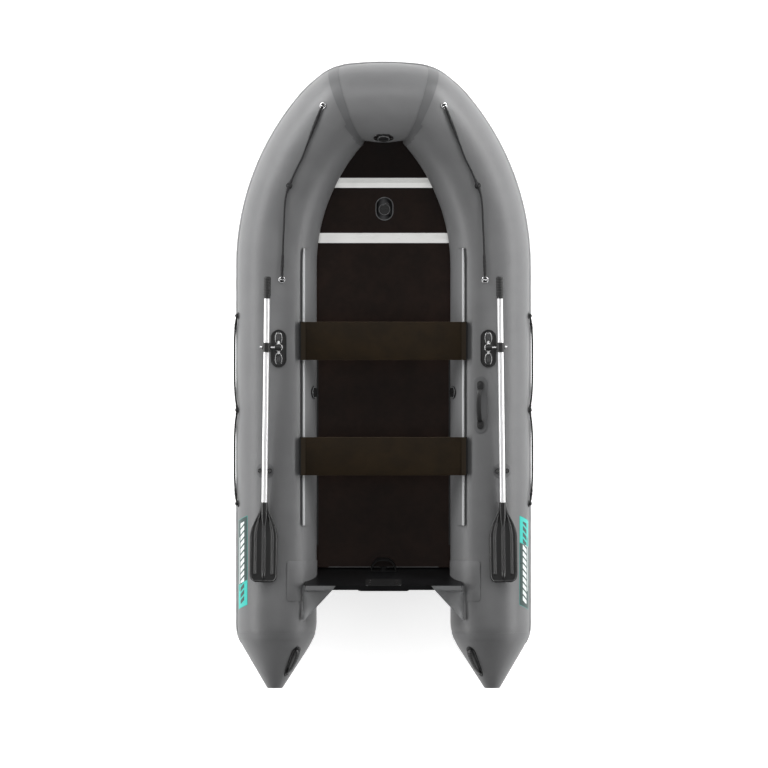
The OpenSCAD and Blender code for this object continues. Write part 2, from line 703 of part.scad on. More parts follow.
// An oar's frame: the origin at the cross pin, Y towards the grip
module on_oar() {
    on_swivel() translate([post_reach, 0, pin_z]) rotate([stow_down, 0, 0]) children();
}
pivot_to_grip = 371;
grip_l = 115;
grip_d = 38;
pin_clear = 0.08;
module pin_hole() {
    translate([-60, 0, 0]) rotate([0, 90, 0]) cylinder(r = pin_d / 2 + pin_clear, h = 120, $fn = 64);
}
wall = 1.5;
blade_y = pivot_to_grip - oar_l;
throat_y = blade_y + blade_l;
module oar_collar() {
    color([0.06, 0.06, 0.06]) on_oar() difference() {
        union() {
            rod_y(collar_r, -collar_w / 2, collar_w / 2, 64);
            translate([-collar_r - 0.5, 0, 0]) rotate([0, 90, 0])
                cylinder(r = 12, h = 2 * collar_r + 1, $fn = 64);
        }
        rod_y(shaft_d / 2 + fit, -60, 60, 64);
        pin_hole();
    }
}
module oar_shaft() {
    color([0.86, 0.87, 0.88]) on_oar() difference() {
        rod_y(shaft_d / 2, throat_y - 60, pivot_to_grip - 6, 64);
        rod_y(shaft_d / 2 - wall, throat_y - 61, pivot_to_grip, 64);
        pin_hole();
    }
}
rib_pitch = 14;
rib_out = 1.5;
// One rib of the grip's outline, at the distance y from its end
function grip_rib(y) = [[grip_d / 2, y], [grip_d / 2, y + 8], [grip_d / 2 - rib_out, y + 10],
    [grip_d / 2 - rib_out, y + 12]];
module oar_grip() {
    color([0.05, 0.05, 0.05]) on_oar() translate([0, pivot_to_grip, 0]) rotate([90, 0, 0]) difference() {
        rotate_extrude($fn = 64) polygon(concat([[0, 0], [13, 0], [17, 3]],
            [for (k = [0 : 6]) for (q = grip_rib(8 + k * rib_pitch)) q],
            [[17.5, grip_l], [0, grip_l]]));
        translate([0, 0, 6]) cylinder(r = shaft_d / 2 + fit, h = grip_l, $fn = 64);
    }
}
blade_t = 5;
full_w_y = 162;
module oar_blade() {
    corner = 30;
    half = blade_w / 2;
    tail = throat_y - blade_y;
    // Half outline from the throat to the tip, measured aft of the throat
    outline = concat([[19, 0], [24, 30], [half * 0.62, 80], [half * 0.88, 122], [half * 0.98, 146],
        [half, full_w_y]], round_corner(half, tail, corner));
    both = concat(outline, [for (i = [len(outline) - 1 : -1 : 0]) [-outline[i][0], outline[i][1]]]);
    color([0.12, 0.12, 0.12]) on_oar() translate([0, throat_y, 0]) difference() {
        union() {
            translate([0, 0, -blade_t / 2]) linear_extrude(blade_t) polygon([for (p = both) [p[0], -p[1]]]);
            rod_y(shaft_d / 2 + 3.5, -70, 6, 64);
            for (x = [-half * 0.5, half * 0.5])
                translate([x - 3, -tail + 40, -blade_t / 2 - 2]) cube([6, tail - 150, blade_t + 4]);
            translate([0, -tail + 60, 0]) rod_y(6, 0, tail - 120, 32);
        }
        rod_y(shaft_d / 2 + fit, -60 - fit, 20, 64);
    }
}
clip_y = -501;
// The clip's studs and the bar under the shaft between them
clip_gap = 25;
stud_r = 13;
bar_l = 70;
bar_w = 22;
clip_foot = tube_d - 30;
clip_x = lock_x + post_reach + (pin_y - clip_y) * sin(stow_a);
// Height of the oar's underside at the clip
clip_top = pin_z - (pin_y - clip_y) * sin(stow_down) - shaft_d / 2 - 1.2;
module clip_shape(grow, stud_h, bar_h) {
    for (k = [-clip_gap, clip_gap])
        translate([clip_x + k, clip_y, clip_foot]) cylinder(r = stud_r + grow, h = stud_h, $fn = 48);
    translate([clip_x, clip_y, clip_foot]) stadium(bar_l + 2 * grow, bar_w + 2 * grow, bar_h);
}
module oar_clips() {
    color([0.05, 0.05, 0.05]) both_sides() difference() {
        clip_shape(0, clip_top - clip_foot, clip_top - clip_foot - 7);
        side_tube_space(tube_r + fit);
    }
}

// ---- Valves ----
side_valve_y = -90;
side_valve_a = 158;
module side_valve_place() {
    on_tube(side_valve_y, side_valve_a) children();
}
bow_valve_a = 26;
module bow_valve_place() {
    translate([0, bow_y, bow_z]) rotate([90 - bow_valve_a, 0, 0]) translate([0, 0, tube_r]) children();
}
module keel_valve_place() {
    on_fore_keel((hatch_y - keel_bend) / cos(keel_tilt)) translate([hatch_x, 0, keel_d / 2]) children();
}
// A screwed-in valve: sleeve, flange and a bore for the pump
module valve_body() {
    difference() {
        union() {
            translate([0, 0, -12]) cylinder(r = valve_r, h = 16, $fn = 64);
            translate([0, 0, 2.2]) cylinder(r = valve_rim, h = 4, $fn = 64);
        }
        translate([0, 0, -13]) cylinder(r = 11, h = 30, $fn = 64);
        translate([0, 0, -4]) cylinder(r = 20, h = 30, $fn = 64);
    }
}
module valve_bodies() {
    color([0.06, 0.06, 0.06]) {
        both_sides() side_valve_place() valve_body();
        bow_valve_place() valve_body();
        keel_valve_place() valve_body();
    }
}
module valve_cap() {
    color([0.12, 0.12, 0.12]) {
        translate([0, 0, -2]) cylinder(r = 19.7, h = 8.2 + gap, $fn = 64);
        translate([0, 0, 6.2 + gap]) cylinder(r = 25, h = 5, $fn = 64);
        translate([-20, -3, 11]) cube([40, 6, 6]);
    }
}

// ---- Grab lines ----
line_d = 9;
// Routes of the starboard lines
BOW_LINE = [[321, 1408, 584], [350, 1335, 564], [380, 1258, 542], [404, 1196, 524], [426, 1138, 507],
    [462, 1066, 486], [494, 992, 470], [511, 940, 458], [518, 880, 449], [521, 800, 438], [525, 710, 429],
    [528, 620, 424], [531, 550, 424], [532, 500, 425]];
SIDE_LINE = [[771, 313, 270], [779, 258, 248], [784, 195, 222], [785, 110, 203], [785, 40, 203],
    [784, -40, 222], [779, -115, 248], [771, -182, 270], [779, -248, 248], [784, -320, 222],
    [785, -395, 203], [785, -470, 203], [784, -545, 222], [779, -615, 248], [771, -675, 270]];
function spline(p, i, t) = let(a = p[max(i - 1, 0)], b = p[i], c = p[i + 1], d = p[min(i + 2, len(p) - 1)])
    0.5 * (2 * b + (c - a) * t + (2 * a - 5 * b + 4 * c - d) * t * t
        + (3 * b - a - 3 * c + d) * t * t * t);
function smooth(p) = [for (i = [0 : len(p) - 2])
    for (t = i == len(p) - 2 ? [0, 0.5, 1] : [0, 0.5]) spline(p, i, t)];
function tangent(p, i) = unit(p[min(i + 1, len(p) - 1)] - p[max(i - 1, 0)]);
function cord_ring(p, i, r) = let(t = tangent(p, i), u = unit(cross(t, [0, 0, 1])), v = cross(u, t))
    [for (k = [0 : 7]) p[i] + r * (cos(k * 45) * u + sin(k * 45) * v)];
module grab_line(route) {
    p = smooth(route);
    color([0.05, 0.05, 0.05]) sweep([for (i = [0 : len(p) - 1]) cord_ring(p, i, line_d / 2)]);
}
// The distance along the tube at which a point lies beside its centre line
function beside(p, low = -2500, high = path_l, n = 40) = let(m = (low + high) / 2)
    n == 0 ? m : (p - centre(m)) * along(m) > 0 ? beside(p, m, high, n - 1) : beside(p, low, m, n - 1);
eye_r = 9;
eye_wire = 2.5;
eye_lift = 7.5;
disc_r = 18;
disc_t = 2.5;
// An eyelet at a point of a route: a welded disc, and on it a staple that the line runs through
module eyelet(p, dir) {
    normal = unit(p - centre(beside(p)));
    ahead = unit(dir - (dir * normal) * normal);
    side = cross(ahead, normal);
    foot = p - (norm(p - centre(beside(p))) - tube_r - 0.3) * normal;
    multmatrix([for (k = [0 : 2]) [side[k], ahead[k], normal[k], foot[k]]]) {
        cylinder(r = disc_r, h = disc_t, $fn = 48);
        intersection() {
            translate([0, 0, eye_lift]) rotate([90, 0, 0])
                rotate_extrude($fn = 48) translate([eye_r, 0]) circle(r = eye_wire, $fn = 24);
            translate([-20, -20, disc_t - 0.5]) cube(40);
        }
    }
}
tow_a = -50;
tow_hole_r = 8;
// A moulded tongue with a hole, welded under the bow tube
module tow_eye() {
    translate([0, bow_y, bow_z]) rotate([tow_a - 90, 0, 0]) translate([0, 0, tube_r + 0.3]) {
        cylinder(r = 42, h = 4, $fn = 64);
        difference() {
            union() {
                translate([-6, -22, 0]) cube([12, 44, 26]);
                translate([-6, 0, 26]) rotate([0, 90, 0]) cylinder(r = 22, h = 12, $fn = 64);
            }
            translate([-20, 0, 26]) rotate([0, 90, 0]) cylinder(r = tow_hole_r, h = 40, $fn = 64);
        }
    }
}
module towing_and_line_eyes() {
    color([0.7, 0.71, 0.72]) both_sides() {
        for (i = [0, 6, 13]) eyelet(BOW_LINE[i], tangent(BOW_LINE, i));
        for (i = [0, 7, 14]) eyelet(SIDE_LINE[i], tangent(SIDE_LINE, i));
    }
    color([0.1, 0.1, 0.1]) tow_eye();
}

// ---- Handles ----
handle_y = -156;
handle_x = -54;
handle_a = acos(handle_x / tube_r);
handle_span = 180;
handle_rise = 36;
handle_r = (pow(handle_span / 2, 2) + pow(handle_rise, 2)) / (2 * handle_rise);
handle_half = asin(handle_span / 2 / handle_r);
module carry_handle() {
    color([0.05, 0.05, 0.05]) on_tube(handle_y, handle_a, 5.6) {
        translate([0, 0, handle_rise - handle_r]) rotate([0, 90, 0]) rotate([0, 0, 180 - handle_half])
            rotate_extrude(angle = 2 * handle_half, $fn = 128)
                translate([handle_r - 2.5, -11]) square([5, 22]);
        for (k = [-1, 1]) translate([0, k * (handle_span / 2 + 12), -2.6]) rotate(90) stadium(50, 34, 7);
    }
}
// A moulded handle on the inner upper side of each cone
grip_at = cone_l - 142;
module stern_handles() {
    a = 135;
    b = atan(cone_slope);
    r = cone_r(grip_at);
    color([0.05, 0.05, 0.05]) both_sides()
        translate([tube_x + tip_out * grip_at / cone_l, cone_y - grip_at, tube_r]) rotate([0, 90 - a, 0])
            translate([0, 0, r + 1.5]) rotate([b, 0, 0]) difference() {
                union() {
                    rotate(90) stadium(160, 60, 5);
                    translate([-13, 0, 0]) rotate([90, 0, 90]) linear_extrude(26)
                        polygon([for (k = [0 : 12]) [66 * cos(k * 15), 36 * pow(sin(k * 15), 0.6)]]);
                }
                translate([-30, 0, 5]) rotate([90, 0, 90]) linear_extrude(60)
                    polygon([for (k = [0 : 12]) [52 * cos(k * 15), 24 * pow(sin(k * 15), 0.6)]]);
            }
}

// ---- Patches ----
module reinforcing_patches() {
    clip_a = acos((clip_x - tube_x) / tube_r);
    color([0.38, 0.39, 0.4]) {
        intersection() {
            tube_patch(handle_a - 11, handle_a + 11, handle_y - 150, handle_y + 150, 2.5);
            on_tube(handle_y, handle_a, -20) rotate(90) stadium(300, 75, 40);
        }
        both_sides() difference() {
            intersection() {
                tube_patch(clip_a - 14, clip_a + 14, clip_y - 40, clip_y + 40, 1.5);
                on_tube(clip_y, clip_a, -20) stadium(99, 79, 40);
            }
            clip_shape(fit, 60, 60);
        }
    }
}

module mirrored() {
    mirror([1, 0, 0]) children();
}

mirrored() side_tube();  // port_side_tube
side_tube();  // starboard_side_tube
mirrored() bow_quarter();  // port_bow_quarter
bow_quarter();  // starboard_bow_quarter
bow_tube();
mirrored() stern_cone();  // port_stern_cone
stern_cone();  // starboard_stern_cone
cone_tips();
chamber_baffles();
bottom_skin();
air_keel();
rub_strakes();
reinforcing_patches();
bow_floor_board();
hatch_floor_board();
forward_floor_board();
middle_floor_board();
aft_floor_board();
floor_joiners();
side_stringers();
transom_board();
outer_motor_pad();
inner_motor_pad();
pad_bolts();
transom_holders();
transom_gussets();
drain_housing();
drain_cap();
seat_tracks();
bench(bench_1_y);  // forward_bench
bench_slides(bench_1_y);  // forward_bench_slides
bench(bench_2_y);  // aft_bench
bench_slides(bench_2_y);  // aft_bench_slides
mirrored() oarlock_base();  // port_oarlock_base
mirrored() swivel();  // port_swivel
mirrored() cross_pin();  // port_cross_pin
mirrored() oar_collar();  // port_oar_collar
mirrored() oar_shaft();  // port_oar_shaft
mirrored() oar_grip();  // port_oar_grip
mirrored() oar_blade();  // port_oar_blade
oarlock_base();  // starboard_oarlock_base
swivel();  // starboard_swivel
cross_pin();  // starboard_cross_pin
oar_collar();  // starboard_oar_collar
oar_shaft();  // starboard_oar_shaft
oar_grip();  // starboard_oar_grip
oar_blade();  // starboard_oar_blade
oar_clips();
valve_bodies();
bow_valve_place() valve_cap();  // bow_valve_cap
mirrored() side_valve_place() valve_cap();  // port_valve_cap
side_valve_place() valve_cap();  // starboard_valve_cap
keel_valve_place() valve_cap();  // keel_valve_cap
towing_and_line_eyes();
mirrored() grab_line(BOW_LINE);  // port_bow_line
grab_line(BOW_LINE);  // starboard_bow_line
mirrored() grab_line(SIDE_LINE);  // port_side_line
grab_line(SIDE_LINE);  // starboard_side_line
carry_handle();
stern_handles();
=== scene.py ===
# %% [markdown]
# # An inflatable dinghy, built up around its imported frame
# The frame holds every working piece of the boat at its real size. This lesson gives each of them
# its looks: it lays new pieces over the plain ones, and paints the ones whose shape is right.
# The first lines load the frame, and the last line hands the finished boat over.

# %% Load the frame and keep its box
import json
import math
import bmesh
import bpy
from mathutils import Matrix, Vector
from mathutils.bvhtree import BVHTree

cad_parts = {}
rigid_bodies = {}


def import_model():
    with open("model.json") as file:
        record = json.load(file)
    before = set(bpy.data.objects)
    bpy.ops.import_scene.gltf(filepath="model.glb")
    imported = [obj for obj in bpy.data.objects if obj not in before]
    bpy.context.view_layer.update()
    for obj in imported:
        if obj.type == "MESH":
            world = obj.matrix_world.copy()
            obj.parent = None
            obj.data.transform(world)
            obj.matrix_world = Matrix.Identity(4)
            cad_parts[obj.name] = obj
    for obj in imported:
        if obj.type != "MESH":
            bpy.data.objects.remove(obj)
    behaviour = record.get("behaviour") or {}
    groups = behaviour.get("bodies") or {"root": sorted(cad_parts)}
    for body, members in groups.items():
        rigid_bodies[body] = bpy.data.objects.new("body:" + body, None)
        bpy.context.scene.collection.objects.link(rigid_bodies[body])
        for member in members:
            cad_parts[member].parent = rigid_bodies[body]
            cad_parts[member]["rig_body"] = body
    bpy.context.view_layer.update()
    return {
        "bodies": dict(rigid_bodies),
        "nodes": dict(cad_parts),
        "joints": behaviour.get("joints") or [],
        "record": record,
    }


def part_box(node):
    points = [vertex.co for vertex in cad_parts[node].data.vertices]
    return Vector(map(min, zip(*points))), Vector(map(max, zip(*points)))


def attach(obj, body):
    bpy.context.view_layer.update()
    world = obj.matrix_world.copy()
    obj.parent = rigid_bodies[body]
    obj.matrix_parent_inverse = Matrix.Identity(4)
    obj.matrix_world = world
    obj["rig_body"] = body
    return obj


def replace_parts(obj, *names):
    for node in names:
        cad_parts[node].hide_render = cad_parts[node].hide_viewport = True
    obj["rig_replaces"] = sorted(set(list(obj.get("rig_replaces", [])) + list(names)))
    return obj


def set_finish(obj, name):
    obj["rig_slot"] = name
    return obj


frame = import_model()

nodes = frame["nodes"]

# %% [markdown]
# ## Millimetres, selecting and finishing
# A boat builder thinks in millimetres and Blender in metres, so one number turns the first into the
# second. An operator acts on all that is selected, so every step starts from nothing selected.
# A finished piece keeps its place in its mesh and its object at the origin.

# %% Small helpers that every piece uses
MM = 0.001
SIDES = (("starboard", 1), ("port", -1))
ACROSS = Matrix.Diagonal((-1, 1, 1, 1))


def mm(*values):
    """A point given in millimetres, as a vector in metres."""
    return Vector(values) * MM


def nothing_selected():
    """Leaves edit mode and deselects every object."""
    if bpy.context.object is not None and bpy.context.object.mode != "OBJECT":
        bpy.ops.object.mode_set(mode="OBJECT")
    bpy.ops.object.select_all(action="DESELECT")


def only(obj):
    """Selects one object and makes it the active one."""
    nothing_selected()
    obj.select_set(True)
    bpy.context.view_layer.objects.active = obj
    return obj


def named(name):
    """Names the object that was just added, and its mesh."""
    obj = bpy.context.object
    obj.name = name
    obj.data.name = name
    return obj


def settle(obj):
    """Puts a piece's place, turn and size into its mesh."""
    only(obj)
    bpy.ops.object.transform_apply(location=True, rotation=True, scale=True)
    return obj


def pick(obj, kind, test):
    """In edit mode, selects the vertices, edges or faces whose middle and normal pass a test.

    The normal handed to the test is, for an edge, the way the edge runs."""
    bpy.ops.mesh.select_mode(type=kind)
    bpy.ops.mesh.select_all(action="DESELECT")
    shape = bmesh.from_edit_mesh(obj.data)
    parts = {"VERT": shape.verts, "EDGE": shape.edges, "FACE": shape.faces}[kind]
    for part in parts:
        if kind == "VERT":
            middle, normal = part.co, part.normal
        elif kind == "EDGE":
            middle = (part.verts[0].co + part.verts[1].co) / 2
            normal = (part.verts[1].co - part.verts[0].co).normalized()
        else:
            middle, normal = part.calc_center_median(), part.normal
        if test(middle, normal):
            part.select_set(True)
    shape.select_flush_mode()
    bmesh.update_edit_mesh(obj.data)


def edit(obj):
    """Opens one object for editing."""
    only(obj)
    bpy.ops.object.mode_set(mode="EDIT")
    return obj


def leave_edit():
    bpy.ops.object.mode_set(mode="OBJECT")


def all_selected():
    """In edit mode, selects the whole mesh."""
    bpy.ops.mesh.select_all(action="SELECT")


def bevel(width, segments):
    """Rounds the selected edges."""
    bpy.ops.mesh.bevel(offset=width, segments=segments, affect="EDGES")


def bridge(obj):
    """Joins all the open rings of a mesh in edit mode with faces, and leaves edit mode."""
    all_selected()
    bpy.ops.mesh.bridge_edge_loops()
    leave_edit()
    return obj


def shift(x, y, z):
    return Matrix.Translation((x, y, z))


def turn(degrees, axis):
    return Matrix.Rotation(math.radians(degrees), 4, axis)


def outwards(obj):
    """Merges doubled points and turns all faces outwards."""
    edit(obj)
    all_selected()
    bpy.ops.mesh.remove_doubles(threshold=0.00001)
    bpy.ops.mesh.normals_make_consistent(inside=False)
    leave_edit()
    return obj


def smooth(obj, degrees=35):
    only(obj)
    bpy.ops.object.shade_smooth_by_angle(angle=math.radians(degrees))
    return obj


def modified(obj, kind, **settings):
    """Adds a modifier, sets it and applies it."""
    only(obj)
    step = obj.modifiers.new(kind.title(), kind)
    for key, value in settings.items():
        setattr(step, key, value)
    bpy.ops.object.modifier_apply(modifier=step.name)
    return obj


def joined(name, parts):
    """Makes several parts one piece."""
    only(parts[0])
    for part in parts[1:]:
        part.select_set(True)
    if len(parts) > 1:
        bpy.ops.object.join()
    return named(name)


def flipped(obj):
    """Mirrors a mesh across the boat's middle, with its faces still outwards."""
    obj.data.transform(ACROSS)
    obj.data.flip_normals()
    return obj


def copied(obj, name, across=False):
    """A copy with its own mesh, mirrored across the boat's middle if asked."""
    twin = obj.copy()
    twin.data = obj.data.copy()
    bpy.context.scene.collection.objects.link(twin)
    twin.name = name
    twin.data.name = name
    if across:
        flipped(twin)
    return twin


def hand_over(obj, body, slot_name, *stands_for):
    """Says which nodes a piece replaces, which body it rides on and which slot it fills."""
    if stands_for:
        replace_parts(obj, *stands_for)
    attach(obj, body)
    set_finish(obj, slot_name)


def both(name):
    """A node's name on each side of the boat."""
    return [f"{side_name}_{name}" for side_name, _ in SIDES]


print("helpers ready")

# %% [markdown]
# ## The camera
# The boat is seen from straight above with its bow up. A very long lens far away keeps the sides of
# the tubes upright, as in a catalogue. The camera comes first, because the lines are measured
# against what it sees.

# %% Camera straight above the boat
LENS = 400
SENSOR = 36
SEEN_WIDTH = 4.042
SHARP_Z = 0.25
camera_height = SEEN_WIDTH * LENS / SENSOR
bpy.ops.object.camera_add(location=(2.6 * MM, -46 * MM, camera_height + SHARP_Z))
camera = bpy.context.object
camera.name = "camera"
camera.data.lens = LENS
camera.data.sensor_width = SENSOR
camera.data.clip_start = 1
camera.data.clip_end = 400
bpy.context.scene.camera = camera
print("camera", round(camera.location.z, 1), "m up")

# %% [markdown]
# ## The tubes' centre line
# Every fitting on the boat sits on a tube, so the first thing to know is where the tube runs. Each
# side is straight, then an arc that also climbs, and then meets the bow tube in a mitre. The same few
# sizes as in the frame give a function for the centre and one for a point on the skin.

# %% Where the tube runs
TUBE_R = 210 * MM
TUBE_X = 562 * MM
BOW_Y = 1430.5 * MM
BOW_Z = 410 * MM
BOW_HALF = 187 * MM
CONE_Y = -1300.5 * MM
CONE_L = 347 * MM
SHOULDER = 0.4 * CONE_L
TIP_R = 40 * MM
TIP_OUT = 10 * MM
TURN = 46.3
LEAD = 20 * MM
RISE = 200 * MM

turn_sin, turn_cos = math.sin(math.radians(TURN)), math.cos(math.radians(TURN))
arc_end = Vector((BOW_HALF + LEAD * turn_sin, BOW_Y - LEAD * turn_cos))
ARC_R = (TUBE_X - arc_end.x) / (1 - turn_cos)
CURVE_Y = arc_end.y - ARC_R * turn_sin
ARC_L = ARC_R * math.radians(TURN)
PATH_L = ARC_L + LEAD


def tube_frame(s):
    """Centre, outward, along and upward at the distance s forward of the straight part's end."""
    t = math.radians(TURN) * min(max(s, 0) / ARC_L, 1)
    extra = max(s - ARC_L, 0)
    climb = math.atan(2 * RISE * max(s, 0) / PATH_L ** 2)
    if s <= 0:
        centre = Vector((TUBE_X, CURVE_Y + s, TUBE_R))
    else:
        centre = Vector((TUBE_X - ARC_R * (1 - math.cos(t)) - extra * math.sin(t),
                         CURVE_Y + ARC_R * math.sin(t) + extra * math.cos(t),
                         TUBE_R + RISE * (s / PATH_L) ** 2))
    outward = Vector((math.cos(t), math.sin(t), 0))
    along = Vector((-math.sin(t) * math.cos(climb), math.cos(t) * math.cos(climb), math.sin(climb)))
    return centre, outward, along, outward.cross(along)


def cone_radius(d):
    """Radius of the stern cone at the distance d aft of its start: a soft shoulder, then straight."""
    fall = (TUBE_R - TIP_R) / (CONE_L - SHOULDER / 2)
    return TUBE_R - fall * (d * d / (2 * SHOULDER) if d < SHOULDER else d - SHOULDER / 2)


def cone_centre(d):
    """Centre of the stern cone there. The tip leans out a little."""
    return Vector((TUBE_X + TIP_OUT * d / CONE_L, CONE_Y - d, TUBE_R))


def s_at(y):
    """The distance along the straight part at a given y."""
    return y - CURVE_Y


def skin(s, angle, lift=0.0):
    """A point on the starboard tube's skin, at an angle above its outer side."""
    centre, outward, _, upward = tube_frame(s)
    a = math.radians(angle)
    return centre + (TUBE_R + lift) * (math.cos(a) * outward + math.sin(a) * upward)


print("curve starts at y", round(CURVE_Y, 3), "and is", round(PATH_L, 3), "m long")

# %% [markdown]
# ## Shader maths as Python
# A finish is a small sum of noises and masks. One class wraps a node's socket and overloads plus,
# minus and times, so that a mask is written as a formula and each sign adds its Math node. All
# other nodes come from one function.

# %% A socket that does sums
class Wire:
    """One output socket of a material's node tree, with Python's operators on it."""

    def __init__(self, tree, socket):
        self.tree = tree
        self.socket = socket

    def sum(self, operation, left, right=None):
        values = {"0": left} if right is None else {"0": left, "1": right}
        return add_node(self.tree, "ShaderNodeMath", {"operation": operation}, 0, **values)

    def __add__(self, other):
        return self.sum("ADD", self, other)

    def __radd__(self, other):
        return self.sum("ADD", other, self)

    def __sub__(self, other):
        return self.sum("SUBTRACT", self, other)

    def __rsub__(self, other):
        return self.sum("SUBTRACT", other, self)

    def __mul__(self, other):
        return self.sum("MULTIPLY", self, other)

    def __rmul__(self, other):
        return self.sum("MULTIPLY", other, self)

    def __gt__(self, other):
        return self.sum("GREATER_THAN", self, other)

    def __lt__(self, other):
        return self.sum("LESS_THAN", self, other)

    def limited(self):
        return add_node(self.tree, "ShaderNodeClamp", None, 0, Value=self)

    def size(self):
        return self.sum("ABSOLUTE", self)

    def sine(self):
        return self.sum("SINE", self)

    def fraction(self):
        return self.sum("FRACT", self)

    def step(self, low, high):
        """0 below low and 1 above high, with a soft rise between them."""
        return add_node(self.tree, "ShaderNodeMapRange", {"interpolation_type": "SMOOTHSTEP"}, 0,
                        Value=self, From_Min=low, From_Max=high)


def add_node(tree, kind, settings=None, out=0, **inputs):
    """Adds a node, sets its settings first, then the values or links of its sockets."""
    made = tree.nodes.new(kind)
    for key, value in (settings or {}).items():
        setattr(made, key, value)
    for key, value in inputs.items():
        socket = made.inputs[int(key)] if key.isdigit() else made.inputs[key.replace("_", " ")]
        if isinstance(value, Wire):
            tree.links.new(value.socket, socket)
        elif socket.type == "RGBA" and len(value) == 3:
            socket.default_value = (*value, 1)
        else:
            socket.default_value = value
    return Wire(tree, made.outputs[out])


class Finish:
    """A material: its tree, its Object coordinates and its one surface shader."""

    def __init__(self, name, **constants):
        self.material = bpy.data.materials.new(name)
        self.material.use_nodes = True
        self.tree = self.material.node_tree
        self.shader = self.tree.nodes["Principled BSDF"]
        self.set(**constants)
        coordinates = self.tree.nodes.new("ShaderNodeTexCoord")
        self.place = Wire(self.tree, coordinates.outputs["Object"])
        self.uv = Wire(self.tree, coordinates.outputs["UV"])

    def set(self, **values):
        """Sets or links the shader's sockets."""
        for key, value in values.items():
            socket = self.shader.inputs[key.replace("_", " ")]
            if isinstance(value, Wire):
                self.tree.links.new(value.socket, socket)
            elif socket.type == "RGBA":
                socket.default_value = (*value, 1)
            else:
                socket.default_value = value

    def node(self, kind, settings=None, out=0, **inputs):
        return add_node(self.tree, kind, settings, out, **inputs)

    def noise(self, scale, detail=3.0, roughness=0.55, stretch=(1, 1, 1), at=None):
        """A cloudy pattern, so many times a metre, stretched along an axis if asked."""
        where = self.node("ShaderNodeMapping", None, 0, Vector=at or self.place, Scale=stretch)
        return self.node("ShaderNodeTexNoise", None, 0, Vector=where, Scale=scale, Detail=detail,
                         Roughness=roughness)

    def axes(self, at=None):
        """The three coordinates as separate numbers."""
        split = self.node("ShaderNodeSeparateXYZ", None, 0, Vector=at or self.place)
        outputs = split.socket.node.outputs
        return [Wire(self.tree, outputs[k]) for k in range(3)]

    def mix(self, mask, below, above):
        """One colour over another where the mask is 1."""
        return self.node("ShaderNodeMix", {"data_type": "RGBA"}, 2,
                         **{"0": mask, "6": below, "7": above})

    def bump(self, height, depth, strength=1.0, under=None):
        more = {} if under is None else {"Normal": under}
        return self.node("ShaderNodeBump", None, 0, Height=height, Distance=depth, Strength=strength,
                         **more)


def tinted(colour, by):
    """The same colour, so many times as light."""
    return [c * by for c in colour]


print("shader tools ready")

# %% [markdown]
# ## Grab lines
# The four black lines round the boat are braided rope, nine millimetres thick. Each is fixed at both
# ends and runs through an eye in the middle. A rope is a round section led along a smooth curve, so a
# curve with a round bevel is the natural tool. It is then made a mesh, because a braid has to follow
# the rope, and only a mesh can carry the map of lengthwise and round-about that the braid reads.

# %% The lines' routes and their meshes
LINE_D = 9 * MM
BOW_ROUTE = [(321, 1408, 584), (350, 1335, 564), (380, 1258, 542), (404, 1196, 524), (426, 1138, 507),
             (462, 1066, 486), (494, 992, 470), (511, 940, 458), (518, 880, 449), (521, 800, 438),
             (525, 710, 429), (528, 620, 424), (531, 550, 424), (532, 500, 425)]
SIDE_ROUTE = [(771, 313, 270), (779, 258, 248), (784, 195, 222), (785, 110, 203), (785, 40, 203),
              (784, -40, 222), (779, -115, 248), (771, -182, 270), (779, -248, 248), (784, -320, 222),
              (785, -395, 203), (785, -470, 203), (784, -545, 222), (779, -615, 248), (771, -675, 270)]


def smoothed(route, side=1, steps=6):
    """Points on a smooth curve through a route given in millimetres."""
    knots = [mm(x * side, y, z) for x, y, z in route]
    last = len(knots) - 1
    points = []
    for i in range(last):
        a, b, c, d = knots[max(i - 1, 0)], knots[i], knots[i + 1], knots[min(i + 2, last)]
        for k in range(steps):
            t = k / steps
            points.append(0.5 * (2 * b + (c - a) * t + (2 * a - 5 * b + 4 * c - d) * t ** 2
                                 + (3 * b - a - 3 * c + d) * t ** 3))
    return points + [knots[last]]


def length_of(points):
    return sum((b - a).length for a, b in zip(points, points[1:]))


def led_along(name, points, radius, swell=None, sides=8):
    """A round mesh along points, with a map of length and turn for patterns. swell scales each point."""
    bpy.ops.curve.primitive_nurbs_path_add()
    curve = bpy.context.object.data
    curve.splines.clear()
    spline = curve.splines.new("POLY")
    spline.points.add(len(points) - 1)
    for k, point in enumerate(points):
        spline.points[k].co = (*point, 1)
        spline.points[k].radius = 1 if swell is None else swell[k]
    curve.bevel_depth = radius
    curve.bevel_resolution = sides // 2 - 2
    curve.use_fill_caps = True
    curve.twist_mode = "MINIMUM"
    obj = bpy.context.object
    obj.location = (0, 0, 0)
    only(obj)
    bpy.ops.object.convert(target="MESH")
    obj = named(name)
    around = len(obj.data.vertices) // len(points)
    run = [0.0]
    for a, b in zip(points, points[1:]):
        run.append(run[-1] + (b - a).length)
    layer = obj.data.uv_layers.new(name="along")
    for face in obj.data.polygons:
        turns = [obj.data.loops[loop].vertex_index % around for loop in face.loop_indices]
        wraps = max(turns) - min(turns) > around // 2
        for loop, place in zip(face.loop_indices, turns):
            ring = min(obj.data.loops[loop].vertex_index // around, len(points) - 1)
            if wraps and place < around / 2:
                place += around
            layer.data[loop].uv = (run[ring] / (2 * radius), place / around)
    return smooth(obj, 60)


lines = []
for side_name, side in SIDES:
    for line_name, route in (("bow_line", BOW_ROUTE), ("side_line", SIDE_ROUTE)):
        path = smoothed(route, side)
        line = led_along(f"{side_name}_{line_name}_rope", path, LINE_D / 2, sides=12)
        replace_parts(line, f"{side_name}_{line_name}")
        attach(line, "hull")
        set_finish(line, "rope")
        length_of(path)
        lines.append(line)
        print(line.name, round(length_of(path), 3), "m,", len(line.data.polygons), "faces")

